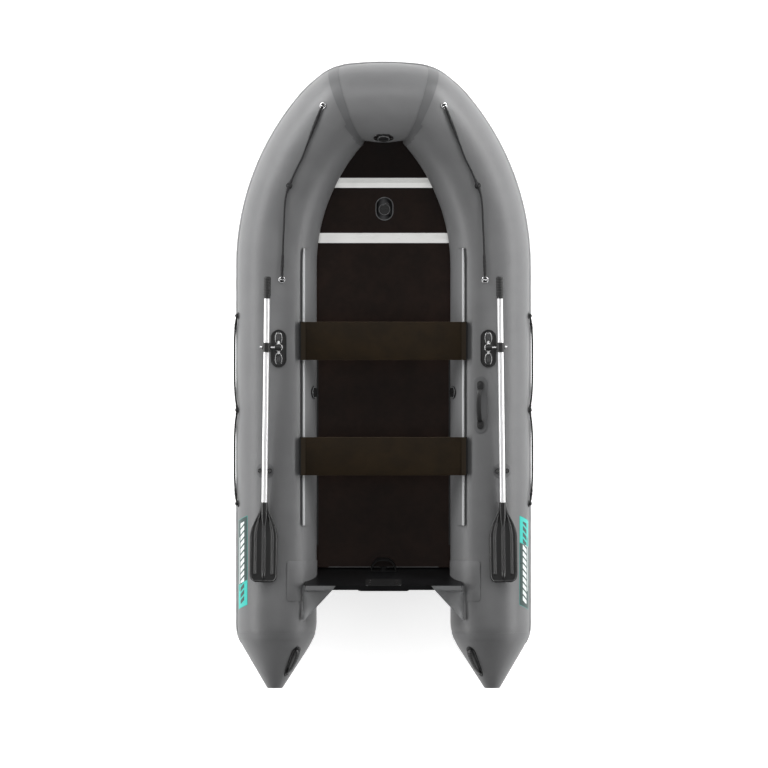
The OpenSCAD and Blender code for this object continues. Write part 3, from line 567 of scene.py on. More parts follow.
# %% [markdown]
# ## Floor and light
# The studio is a wide pale floor under a white sky. Two long soft boxes at the sides give the tubes
# their bright outer bands, three smaller ones round the bow its sheen, and a weak one overhead lifts
# the crowns. The boxes light the boat and aren't seen themselves.

# %% A pale floor, a white sky and six soft boxes
SKY_STRENGTH = 0.21
PAPER_GLOW = 0.70
bpy.ops.mesh.primitive_plane_add(size=160, location=(0, 0, -0.001))
ground = named("studio_floor")
paper = Finish("pale_studio_paper", Roughness=0.9, Specular_IOR_Level=0.1, Emission_Color=(1, 1, 1),
               Emission_Strength=PAPER_GLOW)
paper.set(Base_Color=paper.mix(paper.noise(0.6), (0.93, 0.93, 0.93), (0.95, 0.95, 0.95)))
ground.data.materials.append(paper.material)

bpy.context.scene.view_settings.view_transform = "Standard"
sky = bpy.data.worlds.new("white_sky")
bpy.context.scene.world = sky
sky.use_nodes = True
background = sky.node_tree.nodes["Background"].inputs
background["Color"].default_value = (1, 1, 1, 1)
background["Strength"].default_value = SKY_STRENGTH


def soft_box(name, place, aim, size, power):
    """A rectangular lamp at a place, facing a point of the boat."""
    bpy.ops.object.light_add(type="AREA", location=place)
    box = bpy.context.object
    box.name = name
    box.data.shape = "RECTANGLE"
    box.data.size, box.data.size_y = size
    box.data.energy = power
    box.rotation_euler = (Vector(aim) - Vector(place)).to_track_quat("-Z", "Y").to_euler()
    box.visible_camera = False


for side_name, side in SIDES:
    soft_box(f"{side_name}_soft_box", (side * 4.3, 0.2, 1.75), (side * 0.5, 0.2, 0.3), (8.5, 1.1), 205)
    soft_box(f"{side_name}_bow_box", (side * 3.3, 3.4, 1.9), (side * 0.5, 1.1, 0.4), (2.6, 1.1), 102)
soft_box("bow_soft_box", (0, 3.6, 4.0), (0, 1.0, 0.4), (3.0, 1.4), 52)
soft_box("overhead_soft_box", (0, 0.2, 5.0), (0, 0.2, 0), (2.2, 3.4), 20)

# %% [markdown]
# ## Coated tube fabric
# The tubes are polyester cloth coated with PVC. The coating is a mid grey with a soft sheen. It shows
# the cloth's weave only as a very fine grain, and it is slightly uneven where it was rolled out. Dust
# settles faintly on it, which a cloudy mask adds to the colour and the roughness.

# %% Finishes of the hull
def coated_fabric(name, colour, roughness, grain=0.00012):
    """PVC-coated cloth: fine grain, faint clouds and a few rubbed spots."""
    made = Finish(name, Roughness=roughness, Specular_IOR_Level=0.42)
    clouds = made.noise(5.0, 4.0)
    rubbed = made.noise(38.0, 5.0, 0.7).step(0.60, 0.76)
    shade = made.mix(clouds.step(0.3, 0.7), tinted(colour, 0.95), tinted(colour, 1.05))
    made.set(Base_Color=made.mix(rubbed * 0.35, shade, tinted(colour, 1.12)))
    made.set(Roughness=clouds * 0.10 + (roughness - 0.05) + rubbed * 0.06)
    weave = made.noise(1500.0, 1.0)
    rolled = made.noise(26.0, 2.0)
    low = made.bump(rolled, 0.0011, 0.5)
    made.set(Normal=made.bump(weave, grain, 0.6, low))
    return made


TUBE_GREY = (0.128, 0.129, 0.131)
tube_fabric = coated_fabric("grey_coated_fabric", TUBE_GREY, 0.42)
tape_fabric = coated_fabric("weld_tape", TUBE_GREY, 0.46)
# The patches' grey is darker than the tube's: painted shade, standing for the shade round the patches'
# edges. The eye discs and the floor seal share it.
patch_fabric = coated_fabric("patch_fabric", (0.092, 0.093, 0.095), 0.48)
bottom_fabric = coated_fabric("bottom_fabric", (0.085, 0.087, 0.090), 0.5)
print("fabrics ready")

# %% [markdown]
# ## The inflated tubes
# The hull is one ring of tube: two sides that curve in to a straight bow tube, and two cones at the
# stern. A skin under pressure is round everywhere, so the best way is a circle at each station,
# turned across the tube's line, and then all of them bridged. At the mitre the circle becomes an
# ellipse in the plane that halves the corner. Only the starboard half is made, and mirrored.

# %% Circles along the line, bridged into a skin
RING_SIDES = 96
FORWARD, TO_PORT = Vector((0, 1, 0)), Vector((-1, 0, 0))


def add_ring(centre, direction, normal, radius):
    """A circle cut from a tube of that radius by the plane of the given normal."""
    direction, normal = direction.normalized(), normal.normalized()
    lean = max(min(direction.dot(normal), 1), -1)
    side = direction.cross(Vector((0, 0, 1))).normalized()
    minor = direction.cross(normal)
    minor = minor.normalized() if minor.length > 1e-4 else side.cross(direction).normalized()
    if minor.z < 0:
        minor = -minor
    major = minor.cross(-normal).normalized()
    if major.dot(side) < 0:
        major = -major
    facing = Matrix((major, minor, major.cross(minor))).transposed().to_euler()
    bpy.ops.mesh.primitive_circle_add(vertices=RING_SIDES, radius=radius, location=centre,
                                      rotation=facing, scale=(1 / lean, 1, 1))


mitre_along = tube_frame(PATH_L)[2]
mitre_normal = (mitre_along + TO_PORT).normalized()
mitre_centre = Vector((BOW_HALF, BOW_Y, BOW_Z))
half_corner = math.acos(mitre_along.dot(mitre_normal))
LAST_FULL = PATH_L - TUBE_R * math.tan(half_corner) - 30 * MM

def empty_mesh(name):
    """A piece without points yet, open for editing, to take rings."""
    nothing_selected()
    bpy.ops.mesh.primitive_circle_add(vertices=RING_SIDES, radius=MM)
    obj = edit(named(name))
    all_selected()
    bpy.ops.mesh.delete(type="VERT")
    return obj


cone_end = CONE_L - 3 * MM
cone_steps = [cone_end - k * (cone_end - SHOULDER) / 5 for k in range(5)]
cone_steps += [SHOULDER * (1 - k / 8) for k in range(9)]
stations = [(cone_centre(d), cone_radius(d)) for d in cone_steps]
for k in range(1, 16):
    stations.append((Vector((TUBE_X, CONE_Y + (CURVE_Y - CONE_Y) * k / 15, TUBE_R)), TUBE_R))

skin_half = empty_mesh("air_tubes")
for centre, radius in stations:
    add_ring(centre, FORWARD, FORWARD, radius)
for k in range(1, 23):
    centre, _, along, _ = tube_frame(LAST_FULL * k / 22)
    add_ring(centre, along, along, TUBE_R)
start = tube_frame(LAST_FULL)
for k in range(1, 9):
    share = k / 8
    centre = start[0].lerp(mitre_centre, share)
    across = start[2].lerp(mitre_along, share).normalized()
    add_ring(centre, across, start[2].lerp(mitre_normal, share), TUBE_R)
for k in range(1, 9):
    share = k / 8
    centre = mitre_centre.lerp(Vector((0, BOW_Y, BOW_Z)), share)
    add_ring(centre, TO_PORT, mitre_normal.lerp(TO_PORT, share), TUBE_R)
bridge(skin_half)
print("half skin:", len(skin_half.data.vertices), "points", len(skin_half.data.polygons), "faces")

# %% [markdown]
# ## The soft corners of the bow
# Cloth under pressure doesn't keep a sharp mitre: the outside of the corner rounds off, while the
# inside stays a crease. Smoothing the points near the mitre plane, more on the outside than on the
# inside, gives just that.

# %% Round the bow's corners
def near_mitre(reach, outside_only=False):
    """A test for points within reach of the mitre's plane, on the corner's outside if asked."""
    def test(point, normal):
        away = point - mitre_centre
        near = abs(away.dot(mitre_normal)) < reach and point.x > 1e-4
        return near and (not outside_only or away.dot(CORNER_OUT) > -0.05)
    return test


CORNER_OUT = Vector((1, 1, 0)).normalized()
edit(skin_half)
pick(skin_half, "VERT", near_mitre(0.16, True))
bpy.ops.mesh.vertices_smooth(factor=0.5, repeat=14)
pick(skin_half, "VERT", near_mitre(0.05))
bpy.ops.mesh.vertices_smooth(factor=0.5, repeat=3)
leave_edit()
modified(skin_half, "MIRROR", use_axis=(True, False, False), use_clip=True, merge_threshold=0.0005)
air_tubes = outwards(skin_half)
smooth(air_tubes, 50)
air_tubes.data.materials.append(tube_fabric.material)
hand_over(air_tubes, "hull", "tube_fabric", "port_side_tube", "starboard_side_tube", "port_bow_quarter",
          "starboard_bow_quarter", "bow_tube", "port_stern_cone", "starboard_stern_cone")
print("air tubes:", len(air_tubes.data.polygons), "faces")

# %% [markdown]
# ## Finishes of boards, metal and mouldings
# The floor is birch plywood faced with a dark phenolic film. The film carries a faint woven relief
# against slipping, and scuffs show paler on it. The aluminium is drawn through a die, so its marks
# all run one way. Mouldings are black plastic, satin where they are gripped and glossy where the
# mould was polished. Each finish is one function or a few lines, and each changes over its surface.

# %% Film-faced plywood
def film_ply(name, colour, pale, roughness=0.38, cell=3.2 * MM):
    """Dark film with a crossed relief, soft mottling and paler scuffs."""
    made = Finish(name, Specular_IOR_Level=0.13)
    x, y, _ = made.axes()
    pitch = 2 * math.pi / cell
    relief = ((x + y) * pitch).sine()
    cross = ((x - y) * pitch).sine()
    mottle = made.noise(9.0, 4.0, 0.6)
    scuff = made.noise(30.0, 6.0, 0.7, (0.35, 1.6, 1)).step(0.60, 0.80)
    shade = made.mix(mottle.step(0.3, 0.7), tinted(colour, 0.8), tinted(colour, 1.25))
    made.set(Base_Color=made.mix(scuff * 0.30, shade, pale))
    made.set(Roughness=mottle * 0.14 + (roughness - 0.07) + scuff * 0.1)
    made.set(Normal=made.bump(relief * cross, 0.00012, 0.55, made.bump(mottle, 0.0006, 0.3)))
    return made


floor_ply = film_ply("floor_film_plywood", (0.0185, 0.0100, 0.0072), (0.035, 0.026, 0.021))
bow_ply = film_ply("bow_board_film_plywood", (0.0135, 0.0070, 0.0052), (0.026, 0.018, 0.015))
bench_ply = film_ply("bench_film_plywood", (0.0105, 0.0058, 0.0014), (0.026, 0.016, 0.006), 0.55,
                     4.5 * MM)
transom_ply = film_ply("transom_black_film", (0.0060, 0.0060, 0.0065), (0.022, 0.022, 0.022), 0.30,
                       5 * MM)
PLY_LAYER = 2.8 * MM

ply_edge = Finish("sawn_plywood_edge", Roughness=0.7)
_, _, edge_z = ply_edge.axes()
layers = (edge_z * (2 * math.pi / PLY_LAYER)).sine()
fibres = ply_edge.noise(120.0, 3.0, 0.6, (1, 1, 6))
ply_edge.set(Base_Color=ply_edge.mix((layers + fibres).step(0.2, 0.9), (0.050, 0.034, 0.018),
                                     (0.115, 0.085, 0.050)),
             Normal=ply_edge.bump(fibres, 0.0004, 0.5))
print("plywood ready")

# %% Drawn aluminium and steel
def drawn_metal(name, colour, roughness, stretch, scale=260.0, metallic=1.0):
    """Metal with fine marks along one axis and a few dull patches."""
    made = Finish(name, Metallic=metallic)
    marks = made.noise(scale, 3.0, 0.6, stretch)
    dull = made.noise(14.0, 3.0).step(0.45, 0.75)
    made.set(Base_Color=made.mix(marks, tinted(colour, 0.90), colour))
    made.set(Roughness=marks * 0.16 + (roughness - 0.08) + dull * 0.08)
    made.set(Normal=made.bump(marks, 0.00006, 0.5))
    return made


joiner_metal = drawn_metal("drawn_aluminium", (0.90, 0.90, 0.88), 0.30, (0.02, 1, 1),
                           metallic=0.85)
shaft_metal = drawn_metal("anodised_aluminium", (0.88, 0.88, 0.89), 0.30, (1, 0.02, 1),
                          metallic=0.6)
bright_steel = drawn_metal("bright_steel", (0.78, 0.78, 0.79), 0.22, (1, 1, 1), 90.0)
print("metals ready")

# %% Moulded plastics and rubber
def moulding(name, colour, roughness, grain_scale=900.0, grain_depth=0.00008, coat=0.0):
    """Moulded plastic: fine spark-eroded grain, faint flow clouds and scratches."""
    made = Finish(name, Coat_Weight=coat, Coat_Roughness=0.08, Specular_IOR_Level=0.5)
    flow = made.noise(18.0, 3.0)
    worn = made.noise(75.0, 6.0, 0.75, (1, 0.3, 1)).step(0.62, 0.82)
    shade = made.mix(flow.step(0.3, 0.7), tinted(colour, 0.85), tinted(colour, 1.15))
    made.set(Base_Color=made.mix(worn * 0.5, shade, [c * 1.9 + 0.004 for c in colour]))
    made.set(Roughness=flow * 0.10 + (roughness - 0.05) + worn * 0.10)
    made.set(Normal=made.bump(made.noise(grain_scale, 2.0), grain_depth, 0.5))
    return made


black_satin = moulding("black_satin_moulding", (0.0085, 0.0085, 0.0087), 0.42)
black_gloss = moulding("black_gloss_moulding", (0.0060, 0.0060, 0.0062), 0.16, 300.0, 0.00002, 0.6)
blade_plastic = moulding("blade_plastic", (0.0070, 0.0070, 0.0072), 0.34, 900.0, 0.00001)
grip_rubber = moulding("grip_rubber", (0.0080, 0.0080, 0.0080), 0.60, 1400.0, 0.00012)
tip_rubber = moulding("cone_tip_rubber", (0.150, 0.152, 0.155), 0.45)
strake_rubber = moulding("strake_rubber", (0.235, 0.238, 0.240), 0.40)
rail_plastic = moulding("rail_plastic", (0.250, 0.254, 0.258), 0.38)
eye_plastic = moulding("eye_plastic", (0.0110, 0.0110, 0.0112), 0.30)
baffle_cloth = coated_fabric("baffle_cloth", (0.30, 0.30, 0.29), 0.6)
print("mouldings ready")

# %% Braided rope
def braided(name, colour, roughness):
    """Two families of strands that cross, read from the rope's own map."""
    made = Finish(name, Roughness=roughness, Specular_IOR_Level=0.3)
    along, around, _ = made.axes(made.uv)
    left = ((along * 1.4 + around * 8.0) * math.pi).sine()
    right = ((along * 1.4 - around * 8.0) * math.pi).sine()
    over = left.size() * right.size()
    fuzz = made.noise(2500.0, 2.0)
    # The colour is darker in the grooves between strands and paler on their crowns, following the same
    # relief as the bump: painted shade and painted highlight.
    made.set(Base_Color=made.mix(over.step(0.05, 0.6), tinted(colour, 0.45), tinted(colour, 1.5)))
    made.set(Normal=made.bump(over + fuzz * 0.25, 0.0009, 0.9))
    return made


rope = braided("black_braided_rope", (0.0120, 0.0120, 0.0125), 0.62)
for line in lines:
    line.data.materials.append(rope.material)
print("rope on", len(lines), "lines")

# %% [markdown]
# ## Painting the pieces whose shape is right
# Boards, joiners, rails, shafts, pads and pins already have their true shape in the frame. Each only
# takes its finish in its own material slots. Their meshes are left alone.

# %% Finishes for the frame's own pieces
def paint(finish, *names):
    """Puts one finish on frame nodes, in their own slots."""
    for name in names:
        obj = nodes[name]
        obj.data.materials.clear()
        obj.data.materials.append(finish.material)
        for face in obj.data.polygons:
            face.material_index = 0


paint(floor_ply, "hatch_floor_board", "forward_floor_board", "middle_floor_board",
      "aft_floor_board")
paint(bow_ply, "bow_floor_board")
paint(joiner_metal, "floor_joiners")
paint(transom_ply, "transom_board")
# The side stringers are aluminium channels; their black satin here is painted shade for the dark gap
# between the tubes and the floor.
paint(black_satin, "outer_motor_pad", "inner_motor_pad", "drain_housing", "drain_cap", "valve_bodies",
      "bow_valve_cap", "keel_valve_cap", *both("valve_cap"), "side_stringers", *both("swivel"),
      *both("oar_collar"))
paint(bright_steel, "pad_bolts", *both("cross_pin"))

FLANGE_END_X, FIN_Z, SLIDE_END_X = 412 * MM, 378 * MM, 433 * MM
rail = Finish("rail_on_grey_flange", Roughness=0.4)
across, _, height = rail.axes()
fin = (across.size() > FLANGE_END_X) + (height > FIN_Z)
worn_rail = rail.noise(60.0, 4.0)
rail.set(Base_Color=rail.mix(fin.limited(), TUBE_GREY, (0.44, 0.445, 0.45)),
         Roughness=worn_rail * 0.2 + 0.3, Normal=rail.bump(worn_rail, 0.0003, 0.4))
paint(rail, "seat_tracks")
slide = Finish("bench_slide", Roughness=0.5, Specular_IOR_Level=0.2)
across, _, _ = slide.axes()
rubbed = slide.noise(70.0, 4.0)
slide.set(Base_Color=slide.mix(across.size() > SLIDE_END_X, (0.0150, 0.0092, 0.0034),
                               (0.004, 0.004, 0.004)),
          Roughness=rubbed * 0.2 + 0.4, Normal=slide.bump(rubbed, 0.0003, 0.4))
paint(slide, "forward_bench_slides", "aft_bench_slides")
paint(shaft_metal, *both("oar_shaft"))
paint(grip_rubber, *both("oar_grip"))
paint(tip_rubber, "cone_tips")
paint(baffle_cloth, "chamber_baffles")
paint(bottom_fabric, "bottom_skin", "air_keel")
print("painted nodes:", sum(1 for o in nodes.values() if o.data.materials and o.data.materials[0]))

# %% [markdown]
# ## Laying flat pieces on a round tube
# Patches, tapes, labels and eyes are cut flat and then welded onto the round skin. They are modelled
# the same way here: flat, with X across the tube, Y forward and Z up, and then every point is laid
# on the tube. A point's way across becomes an angle, and its height stays its height.

# %% Lay a flat piece on the starboard tube
def skin_anywhere(s, angle, lift):
    """A point on the skin, the stern cones included."""
    d = s_at(CONE_Y) - s
    if d <= 0:
        return skin(s, angle, lift)
    a = math.radians(angle)
    radius = cone_radius(min(d, CONE_L)) + lift
    return cone_centre(d) + radius * Vector((math.cos(a), 0, math.sin(a)))


def lay_on_tube(obj, s, angle):
    """Bends a flat piece onto the skin, its middle at s and at an angle above the outer side."""
    settle(obj)
    for point in obj.data.vertices:
        x, y, z = point.co
        point.co = skin_anywhere(s + y, angle - math.degrees(x / TUBE_R), z)
    obj.data.update()
    return obj


def round_ended_block(name, sides, length, width, thick):
    """A circle drawn long along Y and raised to a thickness, still open for editing."""
    nothing_selected()
    bpy.ops.mesh.primitive_circle_add(vertices=sides, radius=width / 2, fill_type="NOTHING")
    obj = edit(named(name))
    for way in (1, -1):
        pick(obj, "VERT", lambda p, n: p.y * way > 1e-6)
        bpy.ops.transform.translate(value=(0, way * (length - width) / 2, 0))
    all_selected()
    bpy.ops.mesh.edge_face_add()
    bpy.ops.mesh.extrude_region_move(TRANSFORM_OT_translate={"value": (0, 0, thick)})
    return obj


def round_ended(name, length, width, thick, edge=1.2 * MM, cuts=10):
    """A flat plate with round ends along Y, standing on Z = 0, upper edge softened, cut to bend."""
    obj = round_ended_block(name, 40, length, width, thick)
    pick(obj, "EDGE", lambda p, n: p.z > thick * 0.9)
    bevel(edge, 2)
    leave_edit()
    return sliced(obj, length, width, cuts)


def sliced(obj, length, width, cuts):
    """Cuts a flat piece into strips along Y and across X, so that it can bend."""
    edit(obj)
    across = max(int(width / (8 * MM)), 2)
    for axis, span, count in (((1, 0, 0), width, across), ((0, 1, 0), length, cuts)):
        for k in range(1, count):
            place = Vector(axis) * (-span / 2 + span * k / count)
            all_selected()
            bpy.ops.mesh.bisect(plane_co=place, plane_no=axis)
    leave_edit()
    return obj


def finish_piece(obj, body, finish, slot_name, *stands_for, degrees=35):
    """The last steps for a new piece: normals, smoothing, material, body, slot, what it replaces."""
    outwards(obj)
    smooth(obj, degrees)
    if not obj.data.materials:
        obj.data.materials.append(finish.material)
    hand_over(obj, body, slot_name, *stands_for)
    print(f"{obj.name}: {len(obj.data.polygons)} faces")
    return obj


print("laying ready")

# %% [markdown]
# ## Rub strakes and weld tapes
# A rubber strake is glued round the outside of the tubes to take knocks. It has to follow the skin
# with its soft corners, so its line is found by rays cast outwards from the tubes' centre line, and
# flat oval rings are bridged along it. Tapes cover the welds at the cones and the mitres; the mitres'
# tapes are darker than the skin, as painted shade for the crease there.

# %% The strake's line on the finished skin
surface = bmesh.new()
surface.from_mesh(air_tubes.data)
skin_tree = BVHTree.FromBMesh(surface)
surface.free()


def touched(origin, direction, reach=0.5):
    """Where a ray from inside the tubes meets the skin."""
    hit = skin_tree.ray_cast(origin, direction, reach)
    return hit[0] if hit[0] is not None else origin + direction * TUBE_R


STRAKE_ON_CONE = 112 * MM
BOW_RUN_X = 90 * MM
edge_line = []
for k in range(6):
    edge_line.append(touched(cone_centre(STRAKE_ON_CONE * (1 - k / 6)), -TO_PORT))
for k in range(7):
    centre = Vector((TUBE_X, CONE_Y + (CURVE_Y - CONE_Y) * k / 6, TUBE_R))
    edge_line.append(touched(centre, -TO_PORT))
for k in range(1, 27):
    centre, outward, _, _ = tube_frame(LAST_FULL * k / 26)
    edge_line.append(touched(centre, outward))
for k in range(1, 13):
    share = k / 13
    centre = tube_frame(LAST_FULL)[0].lerp(mitre_centre, min(share * 2, 1))
    centre = centre.lerp(Vector((BOW_RUN_X, BOW_Y, BOW_Z)), max(share * 2 - 1, 0))
    lean = math.radians(40 + 50 * share)
    edge_line.append(touched(centre, Vector((math.cos(lean), math.sin(lean), 0))))
for k in range(4):
    edge_line.append(touched(Vector((BOW_RUN_X * (1 - k / 3), BOW_Y, BOW_Z)), FORWARD))
edge_line = [p for k, p in enumerate(edge_line) if k == 0 or (p - edge_line[k - 1]).length > 4 * MM]
print("strake line:", len(edge_line), "points,", round(length_of(edge_line), 2), "m a side")

# %% Flat oval rings along it, mirrored
STRAKE_OUT = 6.5 * MM
STRAKE_UP = 27 * MM


def oval(centre, along, out, half_out, half_up):
    """A flat oval across a line, its short way pointing out."""
    along = along.normalized()
    out = (out - out.dot(along) * along).normalized()
    facing = Matrix((out, along.cross(out), along)).transposed().to_euler()
    nothing_selected()
    bpy.ops.mesh.primitive_circle_add(vertices=18, radius=1, location=centre, rotation=facing)
    ring = named("strake_ring")
    ring.scale = (half_out, half_up, 1)
    return settle(ring)


rings = []
for k, point in enumerate(edge_line):
    ahead = edge_line[min(k + 1, len(edge_line) - 1)] - edge_line[max(k - 1, 0)]
    out = ahead.cross(Vector((0, 0, 1))).normalized()
    if k == len(edge_line) - 1:
        ahead, out = TO_PORT, FORWARD
    taper = min(1, 0.45 + k * 0.28)
    rings.append(oval(point, ahead, out, STRAKE_OUT * taper, STRAKE_UP * taper))
strakes = joined("rub_strake", rings)
edit(strakes)
all_selected()
bpy.ops.mesh.bridge_edge_loops()
pick(strakes, "EDGE", lambda p, n: p.y < edge_line[0].y + 1 * MM)
bpy.ops.mesh.edge_face_add()
leave_edit()
modified(strakes, "MIRROR", use_axis=(True, False, False), use_clip=True, merge_threshold=0.0005)
finish_piece(strakes, "hull", strake_rubber, "strake_rubber", "rub_strakes", degrees=50)

# %% Weld tapes at the cones, and darker tapes at the mitres as painted shade
cone_tape = empty_mesh("cone_weld_tapes")
for d in [(52 + 6 * k) * MM for k in range(7)]:
    add_ring(cone_centre(d), FORWARD, FORWARD, cone_radius(d) + 0.4 * MM)
bridge(cone_tape)
outwards(cone_tape)
modified(cone_tape, "SOLIDIFY", thickness=1.0 * MM, offset=1.0)
modified(cone_tape, "MIRROR", use_axis=(True, False, False))
finish_piece(cone_tape, "hull", tape_fabric, "patch_fabric")

nothing_selected()
mitre_tape_painted_shade = copied(air_tubes, "mitre_weld_tapes_painted_shade")
mitre_tape_painted_shade.data.materials.clear()
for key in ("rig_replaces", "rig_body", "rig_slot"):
    if key in mitre_tape_painted_shade:
        del mitre_tape_painted_shade[key]
mitre_tape_painted_shade.parent = None
edit(mitre_tape_painted_shade)


def off_the_seam(p):
    """True for a point that the mitre's tape doesn't cover, on either side of the boat."""
    mirrored = Vector((abs(p.x), p.y, p.z))
    return abs((mirrored - mitre_centre).dot(mitre_normal)) > TAPE_HALF or p.y < SEAM_AFT_Y


TAPE_HALF, SEAM_AFT_Y = 20 * MM, 0.9
pick(mitre_tape_painted_shade, "FACE", lambda p, n: off_the_seam(p))
bpy.ops.mesh.delete(type="FACE")
leave_edit()
modified(mitre_tape_painted_shade, "SOLIDIFY", thickness=1.2 * MM, offset=1.0)
# The mitres' tape is darker than the skin: painted shade along the crease where the side tubes meet the bow
# tube.
mitre_shade_fabric = coated_fabric("mitre_tape_painted_shade", (0.094, 0.095, 0.097), 0.42)
finish_piece(mitre_tape_painted_shade, "hull", mitre_shade_fabric, "patch_fabric", degrees=50)

# %% [markdown]
# ## Benches
# Each bench is a board of the same plywood, laid across both rails. Its long edges are sawn and show
# the plies, paler than the film. A block becomes the board once its corners are rounded and its
# rims are broken. A thin pale line near each end marks the clip that holds it on the rail.

# %% Two benches with rounded corners
def board_from_box(name, low, high, corner, rim):
    """A block between two corners, with its upright edges rounded and its rims broken."""
    nothing_selected()
    middle, size = (low + high) / 2, high - low
    bpy.ops.mesh.primitive_cube_add(size=1, location=middle, scale=size)
    obj = settle(named(name))
    edit(obj)
    pick(obj, "EDGE", lambda p, n: abs(n.z) > 0.9)
    bevel(corner, 5)
    pick(obj, "EDGE", lambda p, n: abs(n.z) < 0.1 and min(abs(p.z - low.z), abs(p.z - high.z)) < 1e-5)
    bevel(rim, 2)
    leave_edit()
    return obj


CLIP_LINE_X = 419 * MM
for bench in ("forward_bench", "aft_bench"):
    low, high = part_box(bench)
    board = board_from_box(bench + "_board", low, high, 8 * MM, 1.2 * MM)
    board.data.materials.append(bench_ply.material)
    board.data.materials.append(ply_edge.material)
    for face in board.data.polygons:
        face.material_index = 0 if abs(face.normal.z) > 0.9 else 1
    finish_piece(board, bench, bench_ply, "bench_plywood", bench)
    for side_name, side in SIDES:
        line_low = Vector((side * CLIP_LINE_X - 1.8 * MM, low.y + 1 * MM, high.z - 0.2 * MM))
        line_high = Vector((side * CLIP_LINE_X + 1.8 * MM, high.y - 1 * MM, high.z + 0.9 * MM))
        strip = board_from_box(f"{bench}_clip_line_{side_name}", line_low, line_high, 0.6 * MM, 0.3 * MM)
        finish_piece(strip, bench, rail_plastic, "track_plastic")

# %% [markdown]
# ## Oar blades
# A blade is one moulding: a thin plate that widens from the throat, with a raised rim, a rib down the
# middle and one on each side that follows the outline. A fine grid is the clay: its rows are drawn in
# to the outline, and every point is raised by the ribs that pass over it. A second grid makes the back
# face, and the two rims are bridged.

# %% One blade, shaped from two grids
OAR_PIVOT_TO_TIP = -1232 * MM
BLADE_L = 410 * MM
RIB_START, RIB_END = 10 * MM, BLADE_L - 38 * MM


def blade_half_width(t):
    """Half the blade's width at the distance t from the throat."""
    marks = [(0, 19), (30, 24), (55, 34), (80, 46), (105, 58), (128, 66.5), (150, 72), (172, 74), (365, 74),
             (380, 72.4), (392, 68), (401, 61), (407, 52), (410, 43)]
    mm_t = t / MM
    for (t0, w0), (t1, w1) in zip(marks, marks[1:]):
        if mm_t <= t1:
            return (w0 + (w1 - w0) * (mm_t - t0) / (t1 - t0)) * MM
    return marks[-1][1] * MM


def ridge(distance, half, height):
    """A rounded ridge's height at a distance from its middle."""
    return height * math.cos(math.pi / 2 * min(1.0, distance / half)) ** 2


def blade_face(name, up):
    """One face of the blade, its throat at Y = 0 and its tip at Y = -BLADE_L."""
    nothing_selected()
    bpy.ops.mesh.primitive_grid_add(x_subdivisions=96, y_subdivisions=150, size=2)
    obj = named(name)
    for point in obj.data.vertices:
        u, v = point.co.x, (1 - point.co.y) / 2
        t = v * BLADE_L
        half = blade_half_width(t)
        x = u * half
        edge_gap = half - abs(x)
        end_gap = min(edge_gap, BLADE_L - t)
        relief = ridge(abs(x), 12 * MM, 9 * MM) * min(1, (BLADE_L - t) / (60 * MM))
        relief += ridge(abs(end_gap - 5 * MM), 6.5 * MM, 3.5 * MM)
        side_rib = abs(abs(x) - 0.60 * half)
        if RIB_START < t < RIB_END:
            fade = min(1, (t - RIB_START) / (30 * MM), (RIB_END - t) / (10 * MM))
            relief += ridge(side_rib, 9 * MM, 6.0 * MM) * fade
        thick = (5.0 - 3.0 * min(1, t / (150 * MM))) * MM
        point.co = (x, -t, up * (thick / 2 + 0.4 * MM + relief))
    return obj


front, back = blade_face("blade_front", 1), blade_face("blade_back", -1)
blade = joined("oar_blade", [front, back])
edit(blade)
all_selected()
bpy.ops.mesh.region_to_loop()
bpy.ops.mesh.bridge_edge_loops()
leave_edit()
print("blade:", len(blade.data.polygons), "faces")

# %% The throat, and both blades in place
nothing_selected()
bpy.ops.mesh.primitive_cylinder_add(vertices=48, radius=18.5 * MM, depth=76 * MM, location=(0, -32 * MM, 0),
                                    rotation=(math.radians(90), 0, 0))
throat = settle(named("blade_throat"))
edit(throat)
pick(throat, "FACE", lambda p, n: n.y > 0.9)
bpy.ops.mesh.inset(thickness=2.5 * MM, depth=0)
bpy.ops.transform.translate(value=(0, 4 * MM, 0))
pick(throat, "FACE", lambda p, n: n.y < -0.9)
bpy.ops.mesh.extrude_region_move(TRANSFORM_OT_translate={"value": (0, -60 * MM, 0)})
bpy.ops.transform.resize(value=(0.35, 1, 0.35))
pick(throat, "EDGE", lambda p, n: p.y > 0 and abs(n.y) < 0.1)
bevel(1.0 * MM, 2)
leave_edit()
outwards(blade)
outwards(throat)
blade = joined("oar_blade", [blade, throat])

LOCK_X, PIN_Y, PIN_Z, POST_REACH = 550 * MM, 145 * MM, 475 * MM, 63 * MM
STOW_TURN, STOW_DOWN = math.radians(0.8), math.radians(2.0)
swivel_place = shift(LOCK_X, PIN_Y, 0) @ Matrix.Rotation(STOW_TURN, 4, "Z")
oar_place = swivel_place @ shift(POST_REACH, 0, PIN_Z) @ Matrix.Rotation(STOW_DOWN, 4, "X")
THROAT_Y = OAR_PIVOT_TO_TIP + BLADE_L
for side_name, side in SIDES:
    piece = copied(blade, f"{side_name}_oar_blade_moulding")
    piece.data.transform(oar_place @ shift(0, THROAT_Y, 0))
    if side < 0:
        flipped(piece)
    smooth(piece, 75)
    piece.data.materials.append(blade_plastic.material)
    hand_over(piece, f"{side_name}_oar", "blade_plastic", f"{side_name}_oar_blade")
bpy.data.objects.remove(blade)
print("blades on both oars")

# %% [markdown]
# ## Oarlock mounts
# The mount is a glossy black moulding on the tube's crown: a long plate with round ends, a rim round
# it, two bulging lobes and a boss for the swivel's post between them. The plate is drawn out from a
# circle, the rim is inset and raised, and each lobe is a ball pressed flat and drawn long.

# %% A mount with its rim, lobes and boss
# The lobes are the same black moulding as the plate, but with a lighter base colour: painted highlight for
# the shine on their bulges. Their coat and low roughness are their real gloss.
polished = moulding("polished_lobe_painted_highlight", (0.030, 0.030, 0.031), 0.20, 300.0, 0.00002, 1.0)


def upright(name, sides, radius, depth, place):
    """A round bar standing on end, open for editing. Its middle is at the place."""
    nothing_selected()
    bpy.ops.mesh.primitive_cylinder_add(vertices=sides, radius=radius, depth=depth, location=place)
    return edit(settle(named(name)))


